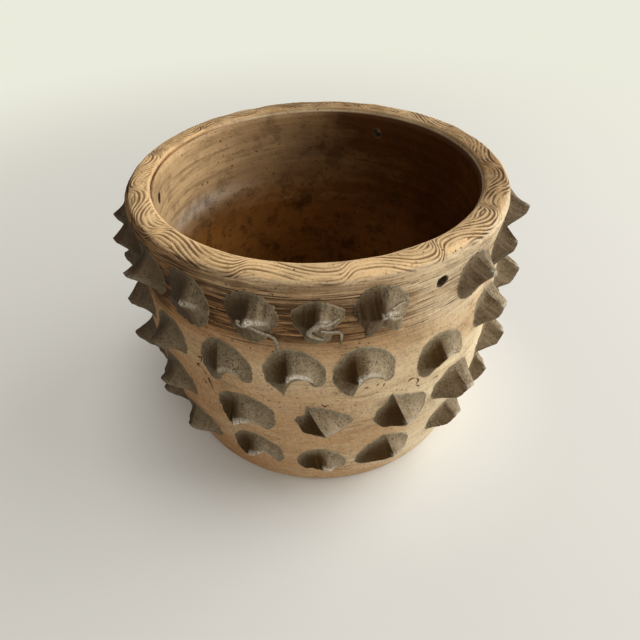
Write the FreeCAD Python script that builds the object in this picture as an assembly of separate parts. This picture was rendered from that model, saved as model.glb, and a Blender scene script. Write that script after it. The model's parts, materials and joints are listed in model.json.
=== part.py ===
"""Clay planter: a thrown pot with a combed collar, three hanging holes and rows of applied thorns.

Millimetres, +Z up. The origin is the centre of the face that the planter stands on.
Bearings are in degrees about +Z from +X, so the front of the planter is at -90.
"""
import FreeCAD, Part
import collections
import functools
import math
import os

# Overall sizes of the thrown pot
HEIGHT = 180.0
BASE_RADIUS = 106.5
BELLY_RADIUS = 117.5
BELLY_RISE = 95.0
NECK_HOLLOW = 2.4
RIM_RADIUS = 115.0
RIM_WIDTH = 18.0
FOOT_BEVEL = 2.5
RIM_ROUND = 5.0
LIP_ROUND = 4.0
FLOOR_THICKNESS = 13.0
BELLY_WALL = 14.0
WELL_CORNER = 14.0
COLLAR_DEPTH = 49.0

# Hanging holes, evenly spaced round the collar
HOLE_RADIUS = 3.25
HOLE_DROP = 17.0
HOLE_COUNT = 3
FIRST_HOLE_BEARING = -58.0
HOLE_OVERRUN = 5.0

# Thorns: the largest a lump of clay gets, and the bare clay left between lumps
THORN_WIDTH = 38.0
THORN_HEIGHT = 32.0
THORN_GAP = 2.0
ROW_GAP = 2.0
HOLE_CLEARANCE = 1.5
THORN_SINK = 0.5
THORN_ROOT = 5.0
TIP_RISE = 3.5
UNDERCUT = 3.0
SCOOP = 3.6

# Height of each row's centre, the two upper ones down from the rim and the two lower ones up from the base
NECK_ROW_DROP = 25.0
SHOULDER_ROW_DROP = 59.0
BELLY_ROW_RISE = 79.0
FOOT_ROW_RISE = 39.0

# How far the tips of each row stand out from the wall, before each thorn's own share
NECK_REACH = 11.5
SHOULDER_REACH = 13.5
BELLY_REACH = 14.0
FOOT_REACH = 12.0

# The thorns of each row as the potter set them by eye: the bearing in degrees, how far the thorn sits
# above its row in half heights of a fan, how far its tip leans to the right in half widths of the fan,
# and its share of the row's reach
NECK_THORNS = (
    ((-75, 0.25, -0.16, 1.0), (-91, 0.12, -0.08, 1.0), (-108, 0.12, 0.1, 1.1), (-127, 0.06, 0.3, 0.9))
    + ((-144, 0.0, 0.05, 1.35), (-160, 0.1, 0.1, 1.1), (-171, 0.2, 0.0, 1.05), (-195, -0.05, 0.1, 1.0))
    + ((-212, 0.1, -0.15, 0.9), (-229, 0.0, 0.1, 1.1), (-246, -0.1, 0.2, 1.0), (-263, 0.08, 0.0, 1.15))
    + ((-280, 0.0, -0.1, 1.0), (45, 0.05, 0.1, 0.95), (28, -0.05, -0.1, 1.1), (10, 0.1, 0.0, 1.2))
    + ((-10, 0.2, 0.0, 1.4), (-25, -0.15, 0.0, 0.95), (-43, -0.05, 0.07, 0.85))
)
SHOULDER_THORNS = (
    ((-79, -0.04, -0.32, 0.95), (-97, 0.0, -0.08, 0.85), (-117, -0.2, 0.16, 0.8), (-138, -0.35, 0.0, 0.9))
    + ((-155, 0.0, 0.05, 0.9), (-176, 0.1, 0.0, 1.0), (-197, -0.1, -0.1, 1.05), (-218, 0.05, 0.15, 0.95))
    + ((-238, 0.0, 0.0, 1.0), (-258, -0.12, 0.1, 0.9), (-278, 0.1, -0.2, 1.0), (-298, 0.0, 0.1, 1.1))
    + ((-318, 0.1, 0.0, 0.9), (-338, -0.05, -0.1, 1.0), (3, 0.0, 0.1, 1.0), (-15, -0.08, 0.0, 1.05))
    + ((-33, -0.15, 0.0, 0.85), (-55, -0.48, -0.3, 0.7))
)
BELLY_THORNS = (
    ((-90, 0.2, 0.05, 1.0), (-113, 0.17, 0.02, 0.95), (-140, 0.0, 0.0, 0.85), (-162, 0.07, 0.0, 1.05))
    + ((-181, 0.0, 0.1, 1.0), (-203, 0.1, -0.1, 0.95), (-225, -0.1, 0.0, 1.05), (-248, 0.0, 0.2, 0.9))
    + ((-270, 0.12, -0.1, 1.0), (-293, 0.0, 0.0, 1.05), (-315, -0.1, 0.1, 0.95), (-338, 0.05, 0.0, 1.0))
    + ((0, 0.0, -0.1, 0.95), (-22, 0.0, 0.0, 0.95), (-48, -0.03, 0.0, 0.9), (-67, 0.06, -0.22, 1.0))
)
FOOT_THORNS = (
    ((-91, -0.33, -0.03, 0.75), (-112, 0.15, 0.0, 0.85), (-135, 0.0, 0.0, 0.95), (-154, 0.1, 0.1, 0.9))
    + ((-173, 0.0, -0.1, 1.0), (-193, -0.1, 0.0, 0.95), (-213, 0.0, 0.15, 1.0), (-234, 0.1, -0.1, 0.9))
    + ((-255, -0.05, 0.0, 1.05), (-276, 0.0, 0.1, 0.95), (-297, 0.1, 0.0, 0.9), (-318, 0.0, -0.1, 1.0))
    + ((-339, -0.1, 0.1, 0.95), (0, 0.05, 0.0, 1.0), (-21, 0.02, 0.0, 1.0), (-45, 0.04, 0.0, 0.8))
    + ((-71, -0.16, 0.2, 0.8),)
)

# Outline of a thorn's fan on the wall, anticlockwise from its crown, in halves of its width and height
FAN_OUTLINE = (
    (0.00, 1.00),
    (-0.50, 0.86),
    (-0.88, 0.42),
    (-1.00, -0.15),
    (-0.55, -0.95),
    (0.05, -0.40),
    (0.60, -1.00),
    (1.00, -0.10),
    (0.88, 0.45),
    (0.50, 0.88),
)
SCOOP_PLACE = (0.48, 0.30)
UNDERCUT_PLACE = (0.0, -0.25)

mouth_radius = RIM_RADIUS - RIM_WIDTH
seam_z = HEIGHT - COLLAR_DEPTH
hole_z = HEIGHT - HOLE_DROP
hole_bearings = [FIRST_HOLE_BEARING + i * 360.0 / HOLE_COUNT for i in range(HOLE_COUNT)]


Spot = collections.namedtuple("Spot", "row bearing level lean reach")


def at(radius, z):
    """A point of a profile, in the XZ plane."""
    return FreeCAD.Vector(radius, 0, z)


def around(radius, bearing, z):
    """A point at a radius and bearing from the axis."""
    turn = math.radians(bearing)
    return FreeCAD.Vector(radius * math.cos(turn), radius * math.sin(turn), z)


def line(start, end):
    return Part.LineSegment(start, end).toShape()


def arc(start, middle, end):
    return Part.Arc(start, middle, end).toShape()


def bow(start, middle, end):
    """A gentle curve that passes through a point halfway along it."""
    curve = Part.BezierCurve()
    curve.setPoles([start, middle * 2 - (start + end) * 0.5, end])
    return curve.toShape()


def on_swell(widest, level, edge, z):
    """The point at a height on a wall that is widest at a level and runs through an edge."""
    share = (z - level) / (edge.z - level)
    return at(widest + (edge.x - widest) * share**2, z)


def quarter(start, end, centre):
    """A quarter round between two points, bulging away from its centre."""
    radius = (start - centre).Length
    middle = centre + ((start + end) * 0.5 - centre).normalize() * radius
    return arc(start, middle, end)


def revolve(edges):
    return Part.Face(Part.Wire(edges)).revolve(at(0, 0), FreeCAD.Vector(0, 0, 1), 360)


def outer_wall():
    """Edges of the outside, from the foot up to the top of the rim."""
    foot = at(BASE_RADIUS, FOOT_BEVEL)
    belly = on_swell(BELLY_RADIUS, BELLY_RISE, foot, (FOOT_BEVEL + seam_z) / 2)
    seam = on_swell(BELLY_RADIUS, BELLY_RISE, foot, seam_z)
    rim_edge = at(RIM_RADIUS, HEIGHT - RIM_ROUND)
    neck = (seam + rim_edge) * 0.5 - at(NECK_HOLLOW, 0)
    rim_top = at(RIM_RADIUS - RIM_ROUND, HEIGHT)
    return [
        line(at(BASE_RADIUS - FOOT_BEVEL, 0), foot),
        bow(foot, belly, seam),
        bow(seam, neck, rim_edge),
        quarter(rim_edge, rim_top, at(rim_top.x, rim_edge.z)),
    ]


outer_edges = outer_wall()
outer_line = Part.Wire(outer_edges)


@functools.cache
def wall_radius(z):
    """Radius of the outside at a height."""
    level = line(at(0, z), at(BELLY_RADIUS + RIM_RADIUS, z))
    return outer_line.distToShape(level)[1][0][0].x


def outside():
    """The pot as if it were solid."""
    top = at(0, HEIGHT)
    shoulder = outer_edges[-1].Vertexes[-1].Point
    toe = outer_edges[0].Vertexes[0].Point
    return revolve([line(at(0, 0), toe), *outer_edges, line(shoulder, top), line(top, at(0, 0))])


def well():
    """The hollow that holds the soil, from its rounded floor up through the mouth."""
    well_radius = BELLY_RADIUS - BELLY_WALL
    lip = at(mouth_radius, HEIGHT - LIP_ROUND)
    lip_top = at(mouth_radius + LIP_ROUND, HEIGHT)
    corner = on_swell(well_radius, BELLY_RISE, lip, FLOOR_THICKNESS)
    middle = on_swell(well_radius, BELLY_RISE, lip, (FLOOR_THICKNESS + lip.z) / 2)
    hollow = revolve(
        [
            line(at(0, FLOOR_THICKNESS), corner),
            bow(corner, middle, lip),
            quarter(lip, lip_top, at(lip_top.x, lip.z)),
            line(lip_top, at(0, HEIGHT)),
            line(at(0, HEIGHT), at(0, FLOOR_THICKNESS)),
        ]
    )
    rims = [edge for edge in hollow.Edges if isinstance(edge.Curve, Part.Circle)]
    floor_edge = [edge for edge in rims if abs(edge.CenterOfMass.z - FLOOR_THICKNESS) < LIP_ROUND]
    return hollow.makeFillet(WELL_CORNER, floor_edge)


def layer(bottom, top):
    """A thick disc that takes in everything between two heights."""
    return Part.makeCylinder(BELLY_RADIUS + RIM_RADIUS, top - bottom, at(0, bottom))


def above(z):
    return layer(z, 2 * HEIGHT)


def below(z):
    return layer(-HEIGHT, z)


def hanging_hole(bearing):
    start = around(mouth_radius - HOLE_OVERRUN, bearing, hole_z)
    length = RIM_WIDTH + 2 * HOLE_OVERRUN
    return Part.makeCylinder(HOLE_RADIUS, length, start, around(1, bearing, 0))


def pot_pieces(body):
    """The floor slab, the thrown wall and the pierced collar, which meet face to face."""
    shell = body.cut(well())
    holes = [hanging_hole(bearing) for bearing in hole_bearings]
    return {
        "floor_slab": shell.common(below(FLOOR_THICKNESS)),
        "thrown_wall": shell.common(layer(FLOOR_THICKNESS, seam_z)),
        "combed_collar": shell.common(above(seam_z)).cut(holes),
    }


def turn_between(first, second):
    """The smaller angle between two bearings."""
    return abs((second - first + 180) % 360 - 180)


def fan_size(spot, spots):
    """Width and height of a thorn's fan: full, or what its neighbours and the holes leave it."""
    per_degree = math.radians(1) * wall_radius(spot.level)
    width = THORN_WIDTH
    height = THORN_HEIGHT
    for other in spots:
        apart = turn_between(spot.bearing, other.bearing) * per_degree
        if other.row != spot.row and apart < THORN_WIDTH:
            height = min(height, abs(other.level - spot.level) - ROW_GAP)
        elif other.row == spot.row and other != spot:
            width = min(width, apart - THORN_GAP)
    for bearing in hole_bearings:
        bare = turn_between(spot.bearing, bearing) * per_degree - HOLE_RADIUS - HOLE_CLEARANCE
        if abs(spot.level - hole_z) < THORN_HEIGHT / 2 + HOLE_RADIUS + HOLE_CLEARANCE:
            width = min(width, 2 * bare)
    return width, height


def thorn(bearing, level, width, height, lean, reach):
    """A lump of clay smeared on the wall as a fan, with two scoops and a ridge drawn out to a tip."""

    def place(across, up, out):
        z = level + up
        radius = wall_radius(z)
        return around(radius + out, bearing + math.degrees(across / radius), z)

    half_width = width / 2
    half_height = height / 2
    fan = [place(x * half_width, y * half_height, -THORN_SINK) for x, y in FAN_OUTLINE]
    tip = place(lean * half_width, TIP_RISE, reach)
    root = place(0, 0, -THORN_ROOT)
    right_scoop = place(SCOOP_PLACE[0] * half_width, SCOOP_PLACE[1] * half_height, SCOOP)
    left_scoop = place(-SCOOP_PLACE[0] * half_width, SCOOP_PLACE[1] * half_height, SCOOP)
    under = place(UNDERCUT_PLACE[0] * half_width, UNDERCUT_PLACE[1] * half_height, UNDERCUT)

    left_side = FAN_OUTLINE.index(min(FAN_OUTLINE))
    right_side = FAN_OUTLINE.index(max(FAN_OUTLINE))
    rings = (
        (root, fan[::-1]),
        (left_scoop, [*fan[: left_side + 1], tip]),
        (under, [tip, *fan[left_side : right_side + 1]]),
        (right_scoop, [tip, *fan[right_side:], fan[0]]),
    )
    faces = []
    for centre, ring in rings:
        for start, end in zip(ring, ring[1:] + ring[:1]):
            faces.append(Part.Face(Part.makePolygon([centre, start, end, centre])))
    lump = Part.makeSolid(Part.makeShell(faces))
    return lump.cut(pot_body)


def thorn_spots():
    """Where every thorn goes, row by row."""
    rows = (
        ("neck_thorn", HEIGHT - NECK_ROW_DROP, NECK_REACH, NECK_THORNS),
        ("shoulder_thorn", HEIGHT - SHOULDER_ROW_DROP, SHOULDER_REACH, SHOULDER_THORNS),
        ("belly_thorns", BELLY_ROW_RISE, BELLY_REACH, BELLY_THORNS),
        ("foot_thorns", FOOT_ROW_RISE, FOOT_REACH, FOOT_THORNS),
    )
    spots = []
    for row, level, reach, thorns in rows:
        for bearing, rise, lean, share in thorns:
            spots.append(Spot(row, bearing, level + rise * THORN_HEIGHT / 2, lean, share * reach))
    return spots


def thorn_nodes():
    """The upper two rows with a node to a thorn, and the lower two with a node to a pair."""
    spots = thorn_spots()
    nodes = {}
    for row, share in (("neck_thorn", 1), ("shoulder_thorn", 1), ("belly_thorns", 2), ("foot_thorns", 2)):
        in_row = [spot for spot in spots if spot.row == row]
        for i in range(0, len(in_row), share):
            solids = []
            for spot in in_row[i : i + share]:
                width, height = fan_size(spot, spots)
                solids += thorn(spot.bearing, spot.level, width, height, spot.lean, spot.reach).Solids
            node = solids[0] if len(solids) == 1 else Part.makeCompound(solids)
            nodes[f"{row}_{i // share + 1:02d}"] = node
    return nodes


pot_body = outside()
nodes = {**pot_pieces(pot_body), **thorn_nodes()}

os.makedirs("parts", exist_ok=True)
for name, shape in nodes.items():
    shape.exportStep(f"parts/{name}.step")
    heights = f"z {shape.BoundBox.ZMin:.1f} to {shape.BoundBox.ZMax:.1f}"
    print(name, len(shape.Solids), "solids", round(shape.Volume), "mm3", heights, "valid", shape.isValid())
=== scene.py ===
import json
import math

import bpy
import numpy as np
from mathutils import Matrix, Vector
from mathutils.bvhtree import BVHTree


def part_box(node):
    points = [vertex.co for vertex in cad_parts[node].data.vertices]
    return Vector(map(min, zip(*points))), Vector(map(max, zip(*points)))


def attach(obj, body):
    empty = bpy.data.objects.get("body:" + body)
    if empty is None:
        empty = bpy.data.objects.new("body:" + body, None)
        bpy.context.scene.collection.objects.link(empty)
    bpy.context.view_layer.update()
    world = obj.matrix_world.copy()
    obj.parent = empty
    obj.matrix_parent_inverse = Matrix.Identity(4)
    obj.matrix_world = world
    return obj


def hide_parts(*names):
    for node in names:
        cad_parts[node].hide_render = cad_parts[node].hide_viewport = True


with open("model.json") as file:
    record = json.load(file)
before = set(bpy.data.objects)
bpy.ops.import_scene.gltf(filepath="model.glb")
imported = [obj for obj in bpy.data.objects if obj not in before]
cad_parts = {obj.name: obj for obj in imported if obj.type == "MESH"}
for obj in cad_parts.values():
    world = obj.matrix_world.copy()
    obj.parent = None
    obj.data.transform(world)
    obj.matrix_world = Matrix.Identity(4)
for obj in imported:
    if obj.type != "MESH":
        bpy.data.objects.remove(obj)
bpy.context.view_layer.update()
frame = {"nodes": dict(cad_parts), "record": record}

bl_info = {
    "name": "Thorned clay planter",
    "version": (1, 0, 0),
    "blender": (4, 5, 0),
    "location": "3D View > Sidebar > Planter",
    "description": "Dresses the planter's solids as thrown and combed clay with hand-set thorns",
    "category": "Object",
}

MM = 0.001
FULL_TURN = 2 * math.pi
SHARP_ANGLE = math.radians(70)
POT_NODES = ("floor_slab", "thrown_wall", "combed_collar")
ROWS = ("neck_thorn", "shoulder_thorn", "belly_thorns", "foot_thorns")
NECK_ROW = ROWS[0]


# Reading the solids


def node_points(node):
    """Corners of a solid's mesh, in metres."""
    mesh = frame["nodes"][node].data
    points = np.empty(len(mesh.vertices) * 3)
    mesh.vertices.foreach_get("co", points)
    return points.reshape(-1, 3)


def node_tree(node):
    """A solid's mesh as a tree that rays can be cast at."""
    mesh = frame["nodes"][node].data
    return BVHTree.FromPolygons([v.co for v in mesh.vertices], [p.vertices for p in mesh.polygons])


class Outline:
    """The pot's outside and well as radii by height, read along one bearing that no hole lies on."""

    bearing = math.radians(20)
    far_out = 0.4

    def __init__(self):
        trees = [node_tree(node) for node in POT_NODES]
        out = Vector((math.cos(self.bearing), math.sin(self.bearing), 0))
        self.floor, self.seam, self.top = (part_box(node)[1].z for node in POT_NODES)
        foot = np.linspace(0.05 * MM, 4 * MM, 20)
        side = np.linspace(5 * MM, self.top - 7 * MM, 170)
        roll = np.linspace(self.top - 6.5 * MM, self.top - 0.02 * MM, 60)
        self.heights = np.concatenate([foot, side, roll])
        self.outer = np.array([self.meet(trees, z, out, self.far_out, -1) for z in self.heights])
        self.well_heights = self.heights[self.heights > self.floor + 0.1 * MM]
        self.well = np.array([self.meet(trees, z, out, 0.0, 1) for z in self.well_heights])

    @staticmethod
    def meet(trees, z, out, start, way):
        """Radius at which a level ray from a start radius first meets the pot."""
        origin = out * start + Vector((0, 0, z))
        hits = [tree.ray_cast(origin, out * way) for tree in trees]
        far = [hit[3] for hit in hits if hit[0] is not None]
        if not far:
            raise RuntimeError(f"no wall at height {z:.4f}")
        return start + way * min(far)

    def outside(self, z):
        """Radius of the outside at a height."""
        return np.interp(z, self.heights, self.outer)

    def inside(self, z):
        """Radius of the well at a height."""
        return np.interp(z, self.well_heights, self.well)


# Smooth steps, noise and turns


def soft(t):
    """A number from 0 to 1, slowed at both ends."""
    return t * t * (3 - 2 * t)


def ease(x, low, high):
    """A smooth step from 0 at low to 1 at high."""
    return soft(np.clip((x - low) / (high - low), 0, 1))


def bell(x, width):
    """1 at 0, falling away over a width to each side."""
    return np.exp(-((x / width) ** 2))


def cloud(x, y, across, up, seed):
    """Smooth noise from -1 to 1, for x that repeats from 0 to 1 and y from 0 to 1."""
    lattice = np.random.default_rng(seed).uniform(-1, 1, (across, up + 2))
    gx = (np.asarray(x) % 1.0) * across
    gy = np.clip(y, 0, 1) * up
    ix, iy = np.floor(gx).astype(int) % across, np.floor(gy).astype(int)
    after = (ix + 1) % across
    fx, fy = soft(gx - np.floor(gx)), soft(gy - np.floor(gy))
    low = lattice[ix, iy] * (1 - fx) + lattice[after, iy] * fx
    high = lattice[ix, iy + 1] * (1 - fx) + lattice[after, iy + 1] * fx
    return low * (1 - fy) + high * fy


def wander(x, across, seed):
    """Smooth noise from -1 to 1 along a line."""
    return cloud(x, 0.5, across, 1, seed)


def ring_angles(turns):
    """Angles evenly round one turn."""
    return np.arange(turns) / turns * FULL_TURN


def short_way(turn):
    """A turn as the shorter one to either side."""
    return (turn + math.pi) % FULL_TURN - math.pi


# Settings


def length(name, about, millimetres):
    """A length, given in millimetres and kept in metres."""
    return bpy.props.FloatProperty(
        name=name, description=about, default=millimetres * MM, min=0, unit="LENGTH", precision=5)


def whole(name, about, default, least):
    """A count with the least that it may be."""
    return bpy.props.IntProperty(name=name, description=about, default=default, min=least)


def number(name, about, default, **kind):
    """A number with its limits, unit or subtype."""
    return bpy.props.FloatProperty(name=name, description=about, default=default, **kind)


def tone(name, about, red, green, blue):
    """A solid colour."""
    return bpy.props.FloatVectorProperty(
        name=name, description=about, subtype="COLOR", size=4, default=(red, green, blue, 1), min=0, max=1)


class PotSettings(bpy.types.PropertyGroup):
    comb_pitch: length("Comb pitch", "Spacing of the comb's teeth on the rim", 2.7)
    comb_depth: length("Comb depth", "Depth of the wavy grooves on the rim", 0.75)
    comb_teeth: whole("Comb teeth", "Grooves that one pass of the comb leaves", 6, 2)
    wave_height: length("Wave height", "How far the comb swings to each side on the rim", 6.6)
    wave_count: whole("Waves", "Swings of the comb in one turn of the rim", 13, 1)
    neck_groove: length("Neck groove", "Depth of the level comb lines round the neck", 0.7)
    ring_depth: length("Throwing rings", "Depth of the finger rings inside the well", 0.35)
    buff: tone("Buff clay", "The pot's own clay", 0.44, 0.288, 0.15)
    pale: tone("Pale clay", "Where the clay is dry and light", 0.57, 0.43, 0.265)
    # Painted light: the cream pales the right side, where the lamp falls
    painted_light_cream: tone("Cream", "The side that the firing left palest", 0.68, 0.57, 0.385)
    straw: tone("Straw", "Dry streaks and grains", 0.62, 0.50, 0.33)
    # The toast is the firing's orange, and on the left side also painted shade
    toast: tone("Toasted clay", "Where the firing turned it orange", 0.36, 0.185, 0.075)
    umber: tone("Umber", "Dark stain in grooves and specks", 0.05, 0.025, 0.012)
    ash: tone("Ash", "Grey-brown grains, smudges and scratches", 0.13, 0.08, 0.042)
    smoke: tone("Smoke", "Brown stain on the neck", 0.15, 0.074, 0.026)
    tar: tone("Tar", "The darkest smears on the neck", 0.06, 0.031, 0.012)
    # The pale rim is the rim's paler clay and also painted light on its lit side; the dark rim is painted
    # shade on its back and right
    pale_and_lit_rim: tone("Pale rim", "The rim where it is lightest", 0.8, 0.535, 0.265)
    painted_shade_rim: tone("Dark rim", "The rim where it is darkest", 0.255, 0.135, 0.046)
    worn: tone("Worn stain", "What is left in the grooves of the pale rim", 0.115, 0.058, 0.021)
    well: tone("Well", "The brown inside", 0.075, 0.026, 0.006)
    rust: tone("Rust", "The orange brown low in the well", 0.31, 0.13, 0.03)
    # The dust is partly painted light, on the well's upper left where the lamp shines in
    dust: tone("Dust", "Dry dust on the wall of the well", 0.54, 0.365, 0.19)
    stroke: tone("Strokes", "Slanting strokes in that dust", 0.17, 0.1, 0.045)
    # Painted highlight along the ridge inside the well
    sheen: tone("Sheen", "The worn ridge inside", 0.58, 0.47, 0.37)
    smut: tone("Smut", "Smudges in the well", 0.05, 0.02, 0.006)
    blot: tone("Blots", "Dark blots in the well", 0.045, 0.018, 0.005)


class ThornSettings(bpy.types.PropertyGroup):
    columns: whole("Columns", "Strips across a thorn's fan", 60, 8)
    shelf_rows: whole("Rows above the lip", "Strips from the fan's edge to the lip", 24, 4)
    under_rows: whole("Rows below the lip", "Strips from the lip back to the wall", 13, 4)
    edge: length("Edge", "Thickness of the smeared clay at the fan's edge", 0.22)
    tear: length("Tear", "How ragged the lip is", 0.7)
    grey: tone("Grey clay", "The thorns' own clay", 0.235, 0.18, 0.11)
    moss: tone("Green grey", "The thin edge of a fan", 0.19, 0.165, 0.112)
    thin: tone("Thinnest clay", "The very edge, where the pot shows through", 0.33, 0.25, 0.155)
    # The bark is brown clay and also painted shade in the scoops, under the lips and on the left lobes
    bark_and_shade: tone("Bark", "The brown in a scoop", 0.062, 0.03, 0.005)
    # Painted highlight: the lit clay lightens the thorns' right faces
    glint: tone("Lit clay", "The side that the thumb polished", 0.37, 0.3, 0.2)
    grit: tone("Grit", "Pale grains on that side", 0.36, 0.3, 0.21)
    pit: tone("Pits", "Small holes in the clay", 0.035, 0.02, 0.009)
    # The soot is dark firing on the neck's thorns and also painted shade on their left faces and on the
    # thorns at the far left
    soot: tone("Soot", "Dark firing on the neck's thorns and far thorns", 0.066, 0.041, 0.021)
    ray: tone("Rays", "Dark streaks in the frayed fans", 0.045, 0.027, 0.013)
    lip: tone("Lip", "The dull grey of a lip", 0.33, 0.28, 0.21)
    torn: tone("Torn clay", "Pale flakes on a torn lip", 0.6, 0.555, 0.47)


class StageSettings(bpy.types.PropertyGroup):
    camera_place: bpy.props.FloatVectorProperty(
        name="Camera", description="Where the camera stands", subtype="TRANSLATION", unit="LENGTH",
        default=(-0.0007, -0.2950, 0.3195))
    camera_pitch: number("Pitch", "How far the camera looks down", math.radians(42.12), subtype="ANGLE")
    camera_roll: number("Roll", "Lean of the camera about its own view", math.radians(-1.67), subtype="ANGLE")
    lens: number("Lens", "Focal length on a 36 mm sensor", 28.856, unit="CAMERA")
    floor: tone("Floor", "The pale floor near the planter", 0.72, 0.715, 0.70)
    bright_floor: tone("Bright floor", "How that floor looks where it is plainly lit", 0.64, 0.62, 0.57)
    distance: tone("Far floor", "The floor behind the planter", 0.83, 0.83, 0.72)
    sky_colour: tone("Sky colour", "Colour of the even light from all round", 1.0, 0.94, 0.85)
    sky: number("Sky", "Strength of the even light from all round", 0.36, min=0)
    key_power: number("Key", "Power of the broad lamp on the right", 36.0, min=0, unit="POWER")
    key_colour: tone("Key colour", "Colour of the broad lamp", 1.0, 0.985, 0.95)
    fill_power: number("Fill", "Power of the low lamp at the front", 8.0, min=0, unit="POWER")
    fill_colour: tone("Fill colour", "Colour of the low lamp", 1.0, 0.97, 0.91)


class PlanterSettings(bpy.types.PropertyGroup):
    pot: bpy.props.PointerProperty(type=PotSettings, name="Pot", description="The thrown pot")
    thorns: bpy.props.PointerProperty(type=ThornSettings, name="Thorns", description="The applied thorns")
    stage: bpy.props.PointerProperty(type=StageSettings, name="Stage", description="Camera, floor and light")


# Materials

CLAY_GLOSS = 0.15


class Wire:
    """A socket of a node tree, so that shader maths reads as arithmetic."""

    def __init__(self, tree, socket=None):
        self.tree = tree
        self.socket = socket

    def node(self, kind, inputs=None, out=0, **settings):
        """The wire from one output of a new node, its settings made first and then its inputs."""
        made = self.tree.nodes.new(kind)
        for key, value in settings.items():
            setattr(made, key, value)
        for key, value in (inputs or {}).items():
            if isinstance(value, Wire):
                self.tree.links.new(value.socket, made.inputs[key])
            else:
                made.inputs[key].default_value = value
        return None if out is None else Wire(self.tree, made.outputs[out])

    def sum(self, operation, *values):
        """A sum of values or wires, by the name of its operation."""
        return self.node("ShaderNodeMath", dict(enumerate(values)), operation=operation)

    def __add__(self, other):
        return self.sum("ADD", self, other)

    def __sub__(self, other):
        return self.sum("SUBTRACT", self, other)

    def __rsub__(self, other):
        return self.sum("SUBTRACT", other, self)

    def __mul__(self, other):
        return self.sum("MULTIPLY", self, other)

    __radd__ = __add__
    __rmul__ = __mul__

    def limited(self):
        """This wire, no lower than 0 and no higher than 1."""
        return self.sum("MINIMUM", self.sum("MAXIMUM", self, 0.0), 1.0)

    def between(self, low, high):
        """A smooth step from 0 at low to 1 at high."""
        ends = {"Value": self, "From Min": low, "From Max": high}
        return self.node("ShaderNodeMapRange", ends, interpolation_type="SMOOTHSTEP")

    def tint(self, first, second):
        """The colour that runs from the first to the second as this wire runs from 0 to 1."""
        ends = {0: self, 6: first, 7: second}
        return self.node("ShaderNodeMix", ends, out=2, data_type="RGBA", clamp_factor=True)

    def under(self, *layers):
        """This colour under layers of others, each with the wire that says how much of it shows."""
        colour = self
        for much, other in layers:
            colour = much.tint(colour, other)
        return colour

    def stretched(self, *scale):
        """This place scaled along each axis."""
        return self.node("ShaderNodeVectorMath", {0: self, 1: scale}, operation="MULTIPLY")

    def slanted(self, turn, *scale):
        """This place scaled along each axis and then turned."""
        return self.node("ShaderNodeMapping", {"Vector": self, "Rotation": turn, "Scale": scale})

    def grain(self, scale=1.0, detail=3.0, rough=0.55):
        """Noise of about 0 to 1 at this place."""
        return self.node(
            "ShaderNodeTexNoise", {"Vector": self, "Scale": scale, "Detail": detail, "Roughness": rough})

    def specks(self, scale, size):
        """1 inside round specks and 0 between them."""
        apart = self.node("ShaderNodeTexVoronoi", {"Vector": self, "Scale": scale, "Randomness": 1.0})
        return 1 - apart.between(size * 0.6, size)

    def mark(self, name):
        """A number stored on the mesh."""
        return self.node("ShaderNodeAttribute", out="Fac", attribute_name=name)


def bare(owner):
    """The start of an empty node tree on a material or a world."""
    owner.use_nodes = True
    owner.node_tree.nodes.clear()
    return Wire(owner.node_tree)


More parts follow.
